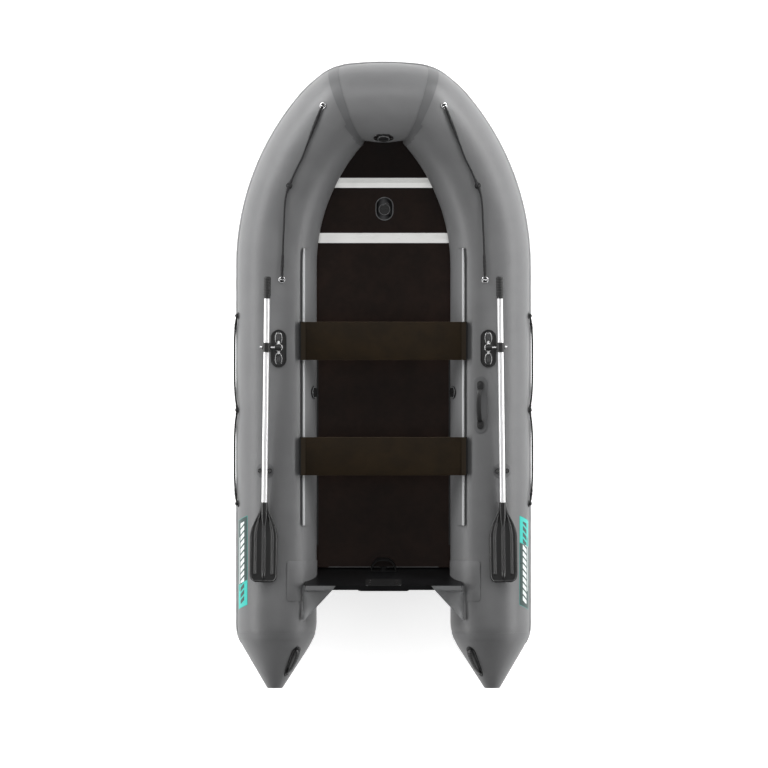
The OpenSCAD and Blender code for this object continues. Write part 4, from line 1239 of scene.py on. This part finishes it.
def lock_mount():
    """The whole mount, standing on Z = 0 with its long way along Y."""
    plate = round_ended_block("lock_plate", 48, 198 * MM, 84 * MM, 20 * MM)
    plate.data.materials.append(black_satin.material)
    pick(plate, "FACE", lambda p, n: p.z > 19 * MM)
    bpy.ops.mesh.inset(thickness=5 * MM, depth=0)
    bpy.ops.mesh.inset(thickness=1.5 * MM, depth=-5 * MM)
    pick(plate, "EDGE", lambda p, n: p.z > 19 * MM and abs(n.z) < 0.1)
    bevel(1.8 * MM, 3)
    leave_edit()
    parts = [plate]
    for way in (1, -1):
        nothing_selected()
        bpy.ops.mesh.primitive_uv_sphere_add(segments=40, ring_count=24, radius=1,
                                             location=(0, way * 55 * MM, 15 * MM))
        lobe = named("lobe")
        lobe.scale = (23 * MM, 36 * MM, 14 * MM)
        settle(lobe)
        for point in lobe.data.vertices:
            notch = max(0, 1 - abs(point.co.x) / (5 * MM))
            point.co.z -= 1.5 * MM * notch * (point.co.z > 15 * MM)
        edit(lobe)
        all_selected()
        bpy.ops.mesh.bisect(plane_co=(0, 0, 12 * MM), plane_no=(0, 0, 1), clear_inner=True)
        bpy.ops.mesh.edge_face_add()
        leave_edit()
        lobe.data.materials.append(polished.material)
        parts.append(lobe)
    boss = upright("boss", 48, 21 * MM, 22 * MM, (0, 5 * MM, 23 * MM))
    pick(boss, "FACE", lambda p, n: n.z > 0.9)
    bpy.ops.mesh.inset(thickness=10.5 * MM, depth=0)
    bpy.ops.mesh.inset(thickness=0.4 * MM, depth=-16 * MM)
    pick(boss, "EDGE",
         lambda p, n: p.z > 33 * MM and abs(n.z) < 0.1 and math.hypot(p.x, p.y - 5 * MM) > 18 * MM)
    bevel(2.5 * MM, 3)
    leave_edit()
    parts.append(boss)
    for way in (1, -1):
        nothing_selected()
        bpy.ops.mesh.primitive_cube_add(size=1, location=(0, 5 * MM + way * 24 * MM, 21 * MM),
                                        scale=(11 * MM, 22 * MM, 12 * MM))
        web = settle(named("web"))
        edit(web)
        all_selected()
        bevel(2 * MM, 2)
        leave_edit()
        parts.append(web)
    for part in parts:
        outwards(part)
    return joined("lock_mount", parts)


mount = lock_mount()
mount.data.transform(shift(LOCK_X, 140 * MM, 408 * MM))
for side_name, side in SIDES:
    piece = copied(mount, f"{side_name}_oarlock_mount", across=side < 0)
    smooth(piece, 40)
    hand_over(piece, "hull", "lock_plastic", f"{side_name}_oarlock_base")
bpy.data.objects.remove(mount)
print("oarlock mounts:", len(piece.data.polygons), "faces each")

# %% [markdown]
# ## Patches, handles and clips on the tubes
# Everything a hand pulls on is welded to a round-ended patch of the same fabric, which spreads the
# load. The carry handle is a strap moulded in an arch between two pads. The stern handles are stiff
# mouldings: a plate with a rim and a raised bar over a dark recess. Each oar rests between two studs.

# %% Patches under the carry handle and the oar clips
HANDLE_Y, HANDLE_ANGLE = -156 * MM, math.degrees(math.acos(-54 / 210))
CLIP_Y = -501 * MM
carry_patch = lay_on_tube(round_ended("carry_handle_patch", 300 * MM, 75 * MM, 2.2 * MM, 0.8 * MM, 20),
                          s_at(HANDLE_Y), HANDLE_ANGLE)
clip_patches = []
CLIP_X = LOCK_X + POST_REACH + (PIN_Y - CLIP_Y) * math.sin(STOW_TURN)
CLIP_ANGLE = math.degrees(math.acos((CLIP_X - TUBE_X) / TUBE_R))
for side_name, side in SIDES:
    patch = round_ended(f"{side_name}_clip_patch", 99 * MM, 79 * MM, 1.6 * MM, 0.6 * MM, 12)
    patch.data.transform(turn(90, "Z"))
    lay_on_tube(patch, s_at(CLIP_Y), CLIP_ANGLE)
    if side < 0:
        patch.data.transform(ACROSS)
    clip_patches.append(patch)
patches = joined("reinforcing_patch_set", [carry_patch] + clip_patches)
finish_piece(patches, "hull", patch_fabric, "patch_fabric", "reinforcing_patches", degrees=50)

# %% An arched strap between two pads, and the stern handles' plate and bar
def arched_strip(name, span, rise, width, thick, power=0.5):
    """A strap along Y that bows up in an arch, with its edges rounded."""
    nothing_selected()
    bpy.ops.mesh.primitive_grid_add(x_subdivisions=6, y_subdivisions=40, size=1)
    obj = named(name)
    obj.data.transform(Matrix.Diagonal((width, span, 1, 1)))
    for point in obj.data.vertices:
        share = max(0.0, 1 - (2 * point.co.y / span) ** 2)
        point.co.z = rise * share ** power - 0.06 * width * (2 * point.co.x / width) ** 2
    modified(obj, "SOLIDIFY", thickness=thick, offset=-1.0)
    modified(obj, "BEVEL", width=thick * 0.3, segments=3, limit_method="ANGLE",
             angle_limit=math.radians(50))
    return obj


parts = [arched_strip("strap", 184 * MM, 36 * MM, 23 * MM, 5 * MM)]
for way in (1, -1):
    pad = round_ended("pad", 50 * MM, 34 * MM, 5 * MM, 1.6 * MM, 4)
    pad.data.transform(shift(0, way * 102 * MM, 0))
    stud = round_ended("stud", 16 * MM, 14 * MM, 7 * MM, 1.2 * MM, 2)
    stud.data.transform(shift(0, way * 106 * MM, 0))
    parts += [pad, stud]
handle_s = s_at(HANDLE_Y)
handle = lay_on_tube(joined("carry_strap", parts), handle_s, HANDLE_ANGLE)
handle.data.transform(shift(*(skin(handle_s, HANDLE_ANGLE, 2.3 * MM) - skin(handle_s, HANDLE_ANGLE))))
finish_piece(handle, "hull", black_satin, "pad_plastic", "carry_handle", degrees=40)

plate = round_ended("handle_plate", 160 * MM, 76 * MM, 4 * MM, 1.4 * MM, 16)
rim = round_ended("handle_rim", 152 * MM, 67 * MM, 6.5 * MM, 1.6 * MM, 16)
edit(rim)
pick(rim, "FACE", lambda p, n: n.z > 0.9 and p.z > 6 * MM)
bpy.ops.mesh.inset(thickness=5 * MM, depth=-5 * MM)
leave_edit()
BAR_SPAN, BAR_RISE, BAR_POWER, RIDGE_GAP = 132, 31, 0.38, 13
bar = arched_strip("handle_bar", BAR_SPAN * MM, BAR_RISE * MM, 32 * MM, 8 * MM, BAR_POWER)
ridges = []
for k in range(-3, 4):
    grip = arched_strip("grip_ridge", 4 * MM, 1.2 * MM, 28 * MM, 2.0 * MM)
    height = BAR_RISE * MM * (1 - (2 * k * RIDGE_GAP / BAR_SPAN) ** 2) ** BAR_POWER
    grip.data.transform(shift(0, k * RIDGE_GAP * MM, height + 0.5 * MM))
    ridges.append(grip)
stern_handle = joined("stern_handle", [plate, rim, bar] + ridges)
lay_on_tube(stern_handle, s_at(CONE_Y - 205 * MM), 132)
other = copied(stern_handle, "port_stern_handle", across=True)
stern_handle = joined("stern_handle_pair", [stern_handle, other])
finish_piece(stern_handle, "hull", black_satin, "pad_plastic", "stern_handles", degrees=40)

# %% Oar clips: two turned studs and a cradle
parts = []
for way in (1, -1):
    stud = upright("clip_stud", 40, 13 * MM, 42 * MM, (CLIP_X + way * 25 * MM, CLIP_Y, 415 * MM))
    pick(stud, "FACE", lambda p, n: n.z > 0.9)
    bpy.ops.mesh.inset(thickness=4.5 * MM, depth=0)
    bpy.ops.mesh.inset(thickness=1.2 * MM, depth=-4 * MM)
    pick(stud, "EDGE", lambda p, n: p.z > 435 * MM and abs(n.z) < 0.1)
    bevel(1.2 * MM, 3)
    leave_edit()
    parts.append(outwards(stud))
low = Vector((CLIP_X - 35 * MM, -512 * MM, 400 * MM))
high = Vector((CLIP_X + 35 * MM, -490 * MM, 428 * MM))
parts.append(outwards(board_from_box("clip_bar", low, high, 9 * MM, 1.5 * MM)))
clips = joined("oar_clip_pair", parts)
other = copied(clips, "port_clip", across=True)
clips = joined("oar_clip_pair", [clips, other])
finish_piece(clips, "hull", black_gloss, "clip_plastic", "oar_clips", degrees=40)

# %% [markdown]
# ## Eyes for the grab lines
# A line runs through wire staples. Each staple is moulded into a disc of fabric, welded on the skin.
# Its frame comes from the skin: the nearest point and its normal, and the way the rope runs there.

# %% Twelve eyelets and the tow eye under the bow
def skin_frame(point, ahead):
    """A frame on the skin beside a point: X across the rope, Y along it and Z out of the skin."""
    place, normal, _, _ = skin_tree.find_nearest(point)
    if (point - place).dot(normal) < 0:
        normal = -normal
    ahead = (ahead - ahead.dot(normal) * normal).normalized()
    side = ahead.cross(normal)
    return Matrix.Translation(place) @ Matrix((side, ahead, normal)).transposed().to_4x4()


def staple(name, wire=2.5 * MM, wide=9 * MM):
    """A ring of wire standing in the disc, its foot cut off."""
    nothing_selected()
    bpy.ops.mesh.primitive_torus_add(major_segments=36, minor_segments=12, major_radius=wide,
                                     minor_radius=wire, rotation=(math.radians(90), 0, 0),
                                     location=(0, 0, 7.5 * MM))
    ring = settle(named(name))
    edit(ring)
    all_selected()
    bpy.ops.mesh.bisect(plane_co=(0, 0, 1.5 * MM), plane_no=(0, 0, 1), clear_inner=True)
    leave_edit()
    return ring


def ring_on(frame, major, minor, name):
    """A slightly flattened ring lying in a frame."""
    nothing_selected()
    bpy.ops.mesh.primitive_torus_add(major_segments=56, minor_segments=10, major_radius=major,
                                     minor_radius=minor)
    obj = named(name)
    for point in obj.data.vertices:
        point.co.z *= 0.75
    obj.data.transform(frame)
    return obj


def knot(frame):
    """A lump where the rope is tied: a ball pressed flat, with three turns round it."""
    nothing_selected()
    bpy.ops.mesh.primitive_uv_sphere_add(segments=20, ring_count=14, radius=10.5 * MM)
    lump = named("rope_knot")
    for point in lump.data.vertices:
        turns = 1 + 0.10 * math.sin(point.co.y / (2.1 * MM) + point.co.x / (4 * MM))
        point.co = (point.co.x * turns * 0.9, point.co.y * 1.1, point.co.z * turns * 0.72 + 9 * MM)
    lump.data.transform(frame)
    return lump


discs, bright, dark, knots = [], [], [], []
BOW_MIDDLE = 6
for route, marks in ((BOW_ROUTE, (0, BOW_MIDDLE, 13)), (SIDE_ROUTE, (0, 7, 14))):
    for mark in marks:
        point = mm(*route[mark])
        ahead = mm(*route[min(mark + 1, len(route) - 1)]) - mm(*route[max(mark - 1, 0)])
        frame = skin_frame(point, ahead)
        disc = round_ended("eye_disc", 36.2 * MM, 36 * MM, 2.6 * MM, 0.9 * MM, 2)
        ring = staple("eye_staple")
        disc.data.transform(frame)
        ring.data.transform(frame)
        discs.append(disc)
        flat = ring_on(frame @ shift(0, 0, 4.4 * MM), 14.5 * MM, 2.8 * MM, "eye_ring")
        metal = bright if route is BOW_ROUTE and mark != BOW_MIDDLE else dark
        metal.extend((ring, flat))
        knots.append(knot(frame))
disc_set = joined("eye_discs", discs)
staple_set = joined("bright_staples", bright)
dark_set = joined("black_staples", dark)
knot_set = joined("rope_knots", knots)
for obj in (disc_set, staple_set, dark_set, knot_set):
    outwards(obj)
    twin = copied(obj, obj.name + "_port", across=True)
    only(obj)
    twin.select_set(True)
    bpy.ops.object.join()
base = upright("tow_base", 64, 42 * MM, 4 * MM, (0, 0, 2 * MM))
pick(base, "EDGE", lambda p, n: p.z > 3.9 * MM and abs(n.z) < 0.1)
bevel(1.5 * MM, 3)
leave_edit()
nothing_selected()
bpy.ops.mesh.primitive_torus_add(major_segments=56, minor_segments=20, major_radius=15.1 * MM,
                                 minor_radius=6.9 * MM, rotation=(0, math.radians(90), 0),
                                 location=(0, 0, 26 * MM))
eye = settle(named("tow_ring"))
low, high = Vector((-6 * MM, -22 * MM, 1 * MM)), Vector((6 * MM, 22 * MM, 13 * MM))
tongue = board_from_box("tow_tongue", low, high, 4 * MM, 1 * MM)
tow = joined("tow_eye_moulding", [base, eye, tongue])
tow.data.transform(shift(0, BOW_Y, BOW_Z) @ turn(-140, "X") @ shift(0, 0, TUBE_R + 0.3 * MM))
finish_piece(disc_set, "hull", patch_fabric, "eye_plastic")
finish_piece(staple_set, "hull", bright_steel, "eye_plastic", degrees=60)
finish_piece(dark_set, "hull", eye_plastic, "eye_plastic", degrees=60)
finish_piece(knot_set, "hull", rope, "rope", degrees=60)
finish_piece(tow, "hull", eye_plastic, "eye_plastic", "towing_and_line_eyes", degrees=45)

# %% Whipped ends on the ropes
def stretch_of(path, start, stop):
    """The part of a path between two shares of its length."""
    total, run, out = length_of(path), 0.0, []
    for a, b in zip(path, path[1:]):
        if start * total <= run <= stop * total:
            out.append(a)
        run += (b - a).length
    return out


WHIPPED = (("bow_line", BOW_ROUTE, 8.4 * MM, ((0.02, 0.20), (0.44, 0.53), (0.86, 0.98))),
           ("side_line", SIDE_ROUTE, 6.8 * MM, ((0.01, 0.09), (0.46, 0.54), (0.91, 0.99))))
for side_name, side in SIDES:
    for line_name, route, thick, ends in WHIPPED:
        path = smoothed(route, side)
        for k, (start, stop) in enumerate(ends):
            part = stretch_of(path, start, stop)
            last = len(part) - 1
            swell = [0.62 + 0.24 * math.sin(math.pi * i / last) + 0.14 * (i % 2) for i in range(last + 1)]
            whip = led_along(f"{side_name}_{line_name}_splice_{k}", part, thick, swell, 10)
            finish_piece(whip, "hull", rope, "rope", degrees=60)

# %% [markdown]
# ## Labels
# Each side carries a long printed label low on the tube's outer side near the stern: one dark green
# field and one turquoise field with slanted ends. The print is replaced by plain slanted bars. A label
# is a thin film: a fine grid is slanted, laid on the skin and given a little thickness. Its own map
# tells the colour where the fields and the bars are.

# %% Printed film and its two labels
def printed_film(name, border, green_first):
    """Two fields with a border line between them, slanted bars and worn spots."""
    made = Finish(name, Roughness=0.3, Specular_IOR_Level=0.5)
    u, v, _ = made.axes(made.uv)
    ahead = v > border
    green = ahead if green_first else 1 - ahead
    edge = ((u - 0.5).size() > 0.47) + ((v - border).size() < 0.004) + ((v - 0.5).size() > 0.494)
    cell = (v * 14.0 + u * 1.1).fraction()
    band = ((u - 0.5).size() < 0.20) * (cell > 0.32) * ((v - 0.5).size() < 0.45)
    thin = ((u - 0.82).size() < 0.035) * ((v - 0.5).size() < 0.30)
    wear = made.noise(60.0, 5.0, 0.7)
    field = made.mix(green, (0.006, 0.430, 0.370), (0.004, 0.030, 0.026))
    lined = made.mix(edge.limited(), field, (0.012, 0.200, 0.175))
    bars = made.mix(green, (0.004, 0.040, 0.036), (0.62, 0.66, 0.65))
    printed = made.mix((band + thin).limited(), lined, bars)
    made.set(Base_Color=made.mix(wear.step(0.66, 0.8) * 0.3, printed, (0.20, 0.22, 0.22)))
    made.set(Roughness=wear * 0.15 + 0.22)
    made.set(Normal=made.bump(wear, 0.0002, 0.3))
    return made


LABEL_WIDTH, LABEL_LENGTH, LABEL_Y, LABEL_ANGLE = 94 * MM, 470 * MM, -985 * MM, 31


def label(name, film, side):
    """A slanted thin film laid on the tube's outer side."""
    nothing_selected()
    bpy.ops.mesh.primitive_grid_add(x_subdivisions=16, y_subdivisions=56, size=1)
    obj = named(name)
    obj.data.transform(Matrix.Diagonal((LABEL_WIDTH, LABEL_LENGTH, 1, 1)))
    for point in obj.data.vertices:
        point.co.y -= 0.30 * point.co.x
    modified(obj, "SOLIDIFY", thickness=0.5 * MM, offset=1.0)
    lay_on_tube(obj, s_at(LABEL_Y), LABEL_ANGLE)
    if side < 0:
        obj.data.transform(ACROSS)
    return finish_piece(obj, "hull", film, "patch_fabric", degrees=50)


label("starboard_label", printed_film("starboard_label_film", 0.70, False), 1)
label("port_label", printed_film("port_label_film", 0.28, True), -1)

# %% [markdown]
# ## Transom fabric
# The transom is held to the tubes by heavy patches glued round its ends, and two gussets lead from
# its top edge down to the tubes, so that wash doesn't pass. A gusset is one sheet of fabric that
# hangs from the board's edge to the tube. The grid follows the straight line between both, but never
# dips under the skin.

# %% Gussets
def crown_at(x, radius):
    """Height of a tube of this radius above the point x."""
    return TUBE_R + math.sqrt(max(radius ** 2 - (TUBE_X - x) ** 2, 0))


GUSSET_START, GUSSET_RUN, GUSSET_OUTER = -1104, 180, 424
BOARD_TOP = 439


def gusset(name):
    """The starboard sheet. All its marks are in millimetres."""
    nothing_selected()
    bpy.ops.mesh.primitive_grid_add(x_subdivisions=18, y_subdivisions=24, size=2)
    obj = named(name)
    inner = [(-1104, 251, 440), (-1116, 259, 438), (-1150, 290, 428), (-1207, 342, 408), (-1245, 378, 400),
             (-1284, 414, 396)]
    for point in obj.data.vertices:
        u, v = (point.co.x + 1) / 2, (1 - point.co.y) / 2
        y = GUSSET_START - GUSSET_RUN * v
        for (y0, x0, z0), (y1, x1, z1) in zip(inner, inner[1:]):
            if y <= y0 + 0.01 and y >= y1 - 0.01:
                t = (y - y0) / (y1 - y0)
                x_in, z_in = x0 + (x1 - x0) * t, z0 + (z1 - z0) * t
        x = (x_in + (GUSSET_OUTER - x_in) * u) * MM
        z_out = crown_at(GUSSET_OUTER * MM, TUBE_R + 5 * MM)
        sag = 5 * MM * math.sin(math.pi * u) * math.sin(math.pi * v)
        z = z_in * MM + (z_out - z_in * MM) * u ** 1.6 - sag
        board_top = (BOARD_TOP - 3 * (1 - v)) * MM if y > -1128 and x < 408 * MM else 0
        point.co = (x, y * MM, max(z, crown_at(x, TUBE_R + 4.4 * MM), board_top))
    modified(obj, "SOLIDIFY", thickness=1.6 * MM, offset=1.0)
    return obj


light_fabric = coated_fabric("light_coated_fabric", (0.122, 0.124, 0.126), 0.45)
starboard_gusset = gusset("starboard_gusset")
port_gusset = copied(starboard_gusset, "port_gusset", across=True)
gussets = joined("gusset_pair", [starboard_gusset, port_gusset])
finish_piece(gussets, "hull", light_fabric, "patch_fabric", "transom_gussets", degrees=50)

# %% Holding patches round the transom's ends
low, high = Vector((-183 * MM, -105 * MM, 0)), Vector((183 * MM, 105 * MM, 3 * MM))
holder = board_from_box("holder", low, high, 16 * MM, 0.8 * MM)
sliced(holder, 210 * MM, 366 * MM, 4)
lay_on_tube(holder, s_at(-1080.5 * MM), 155)
twin = copied(holder, "port_holder", across=True)
holders = joined("holder_pair", [holder, twin])
finish_piece(holders, "hull", tube_fabric, "patch_fabric", "transom_holders", degrees=50)

# %% A folded tape along the gusset's seam, pale as painted highlight, and the tape that seals the floor to the transom
FOLD_X = 405 * MM
fold_z = crown_at(FOLD_X, TUBE_R + 7.2 * MM) + 2.5 * MM
# The fold is fabric like the holder; its pale colour is painted highlight, standing for the light along its
# round top.
fold_painted_highlight = coated_fabric("seam_fold_painted_highlight", (0.52, 0.53, 0.54), 0.5)
for side_name, side in SIDES:
    fold_path = [Vector((FOLD_X * side, y * MM, fold_z)) for y in range(-1114, -1282, -12)]
    fold = led_along(f"{side_name}_gusset_fold", fold_path, 2.4 * MM, None, 8)
    finish_piece(fold, "hull", fold_painted_highlight, "patch_fabric", degrees=60)
low, high = Vector((-290 * MM, -1015 * MM, 104 * MM)), Vector((290 * MM, -1010 * MM, 107.5 * MM))
seal = board_from_box("floor_seal", low, high, 1.5 * MM, 0.8 * MM)
finish_piece(seal, "hull", patch_fabric, "patch_fabric")

# %% [markdown]
# ## Valve rings and the hatch's rim
# A valve's cap hangs on a light strap, so that it isn't lost, and the hatch over the keel's valve is
# edged with a pale rim. Rings are bent tori and the straps thin rounds led along a short path.

# %% Rings, straps and the hatch's rim
VALVE_ANGLE, KEEL_RISE, HATCH_RISE = 158, 4.6, 5
on_skin = shift(0, 0, TUBE_R)
bow_valve = shift(0, BOW_Y, BOW_Z) @ turn(64, "X") @ on_skin
side_valve = shift(TUBE_X, -90 * MM, TUBE_R) @ turn(90 - VALVE_ANGLE, "Y") @ on_skin
keel_valve = shift(5 * MM, 876.4 * MM, 102 * MM) @ turn(KEEL_RISE, "X")
for name, frame in (("bow", bow_valve), ("starboard", side_valve), ("port", ACROSS @ side_valve),
                    ("keel", keel_valve)):
    ring = ring_on(frame @ shift(0, 0, 6.6 * MM), 29 * MM, 1.5 * MM, f"{name}_valve_strap_ring")
    finish_piece(ring, "hull", rail_plastic, "valve_plastic", degrees=60)

saddle = round_ended("bow_valve_saddle", 104 * MM, 78 * MM, 3 * MM, 1.2 * MM, 12)
saddle.data.transform(turn(90, "Z"))
settle(saddle)
for point in saddle.data.vertices:
    lean, radius = point.co.y / TUBE_R, TUBE_R + point.co.z
    point.co = (point.co.x, radius * math.sin(lean), radius * math.cos(lean) - TUBE_R)
saddle.data.transform(bow_valve)
finish_piece(saddle, "hull", black_gloss, "valve_plastic", degrees=50)

nothing_selected()
bpy.ops.mesh.primitive_torus_add(major_segments=64, minor_segments=10, major_radius=45 * MM,
                                 minor_radius=2.2 * MM)
hatch_rim = named("hatch_rim")
for point in hatch_rim.data.vertices:
    point.co.y += math.copysign(15 * MM, point.co.y) if abs(point.co.y) > 1e-4 else 0
    point.co.z *= 0.55
hatch_z = (105 + 154 * math.tan(math.radians(HATCH_RISE)) + 0.9) * MM
hatch_rim.data.transform(shift(5 * MM, 879 * MM, hatch_z) @ turn(HATCH_RISE, "X"))
finish_piece(hatch_rim, "hull", rail_plastic, "valve_plastic", degrees=60)

strap_path = [keel_valve @ Vector(mm(29 * math.cos(a), 29 * math.sin(a), 7)) for a in (0.9, 1.2)]
for k in range(5):
    place = mm(26 - 9 * k, 28 + 7 * math.sin(1.1 * k), 9 + 4 * math.sin(0.5 * k))
    strap_path.append(keel_valve @ Vector(place))
strap = led_along("keel_valve_strap", strap_path, 1.5 * MM, None, 8)
finish_piece(strap, "hull", rail_plastic, "valve_plastic", degrees=60)

# %% [markdown]
# ## Bottom
# The bottom is one sheet of heavy fabric between the tubes, pulled into a shallow V by the air keel
# under the floor. A grid runs from seam to seam and from the transom to the bow. The keel is a slim
# round bladder.

# %% The bottom sheet and the keel
def seam(s):
    """The line where the bottom is welded to the tube."""
    angle = 230 + 14 * max(s, 0) / PATH_L
    return skin(s, angle, 0.6 * MM)


nothing_selected()
bpy.ops.mesh.primitive_grid_add(x_subdivisions=28, y_subdivisions=60, size=2)
bottom = named("bottom_sheet")
first, last = s_at(-1055.5 * MM), LAST_FULL
for point in bottom.data.vertices:
    u, v = point.co.x, (point.co.y + 1) / 2
    edge = seam(first + (last - first) * v)
    fall = 1 - math.sqrt(u * u + 0.01) + 0.005
    point.co = (edge.x * u, edge.y, edge.z - 44 * MM * max(fall, 0))
modified(bottom, "SOLIDIFY", thickness=1.2 * MM, offset=0.0)
finish_piece(bottom, "hull", bottom_fabric, "bottom_fabric", "bottom_skin", degrees=50)

KEEL_Z = (105 - 12 - 0.3 - 3 - 32) * MM
KEEL_R, BEND_Y, BOW_LEG = 31.5 * MM, 725 * MM, 260 * MM


def on_bow_leg(run):
    """A point of the keel's line so far past the place where it starts to rise."""
    rise = math.radians(KEEL_RISE)
    return Vector((0, BEND_Y + run * math.cos(rise), KEEL_Z + run * math.sin(rise)))


keel_points, keel_swell = [], []
for k in range(7):
    a = math.radians(90 * k / 6)
    keel_points.append(Vector((0, -940.5 * MM - KEEL_R * math.cos(a), KEEL_Z)))
    keel_swell.append(max(math.sin(a), 0.02))
keel_points += [Vector((0, (-900 + 160 * k) * MM, KEEL_Z)) for k in range(11)]
keel_points += [on_bow_leg(run * MM) for run in (0, 60, 130, 200, 258)]
keel_swell += [1.0] * (len(keel_points) - len(keel_swell))
for k in range(1, 7):
    a = math.radians(90 * k / 6)
    keel_points.append(on_bow_leg(BOW_LEG + KEEL_R * math.sin(a)))
    keel_swell.append(max(math.cos(a), 0.02))
keel = led_along("air_keel_bladder", keel_points, 31.9 * MM, keel_swell, 32)
finish_piece(keel, "hull", bottom_fabric, "bottom_fabric", "air_keel", degrees=50)
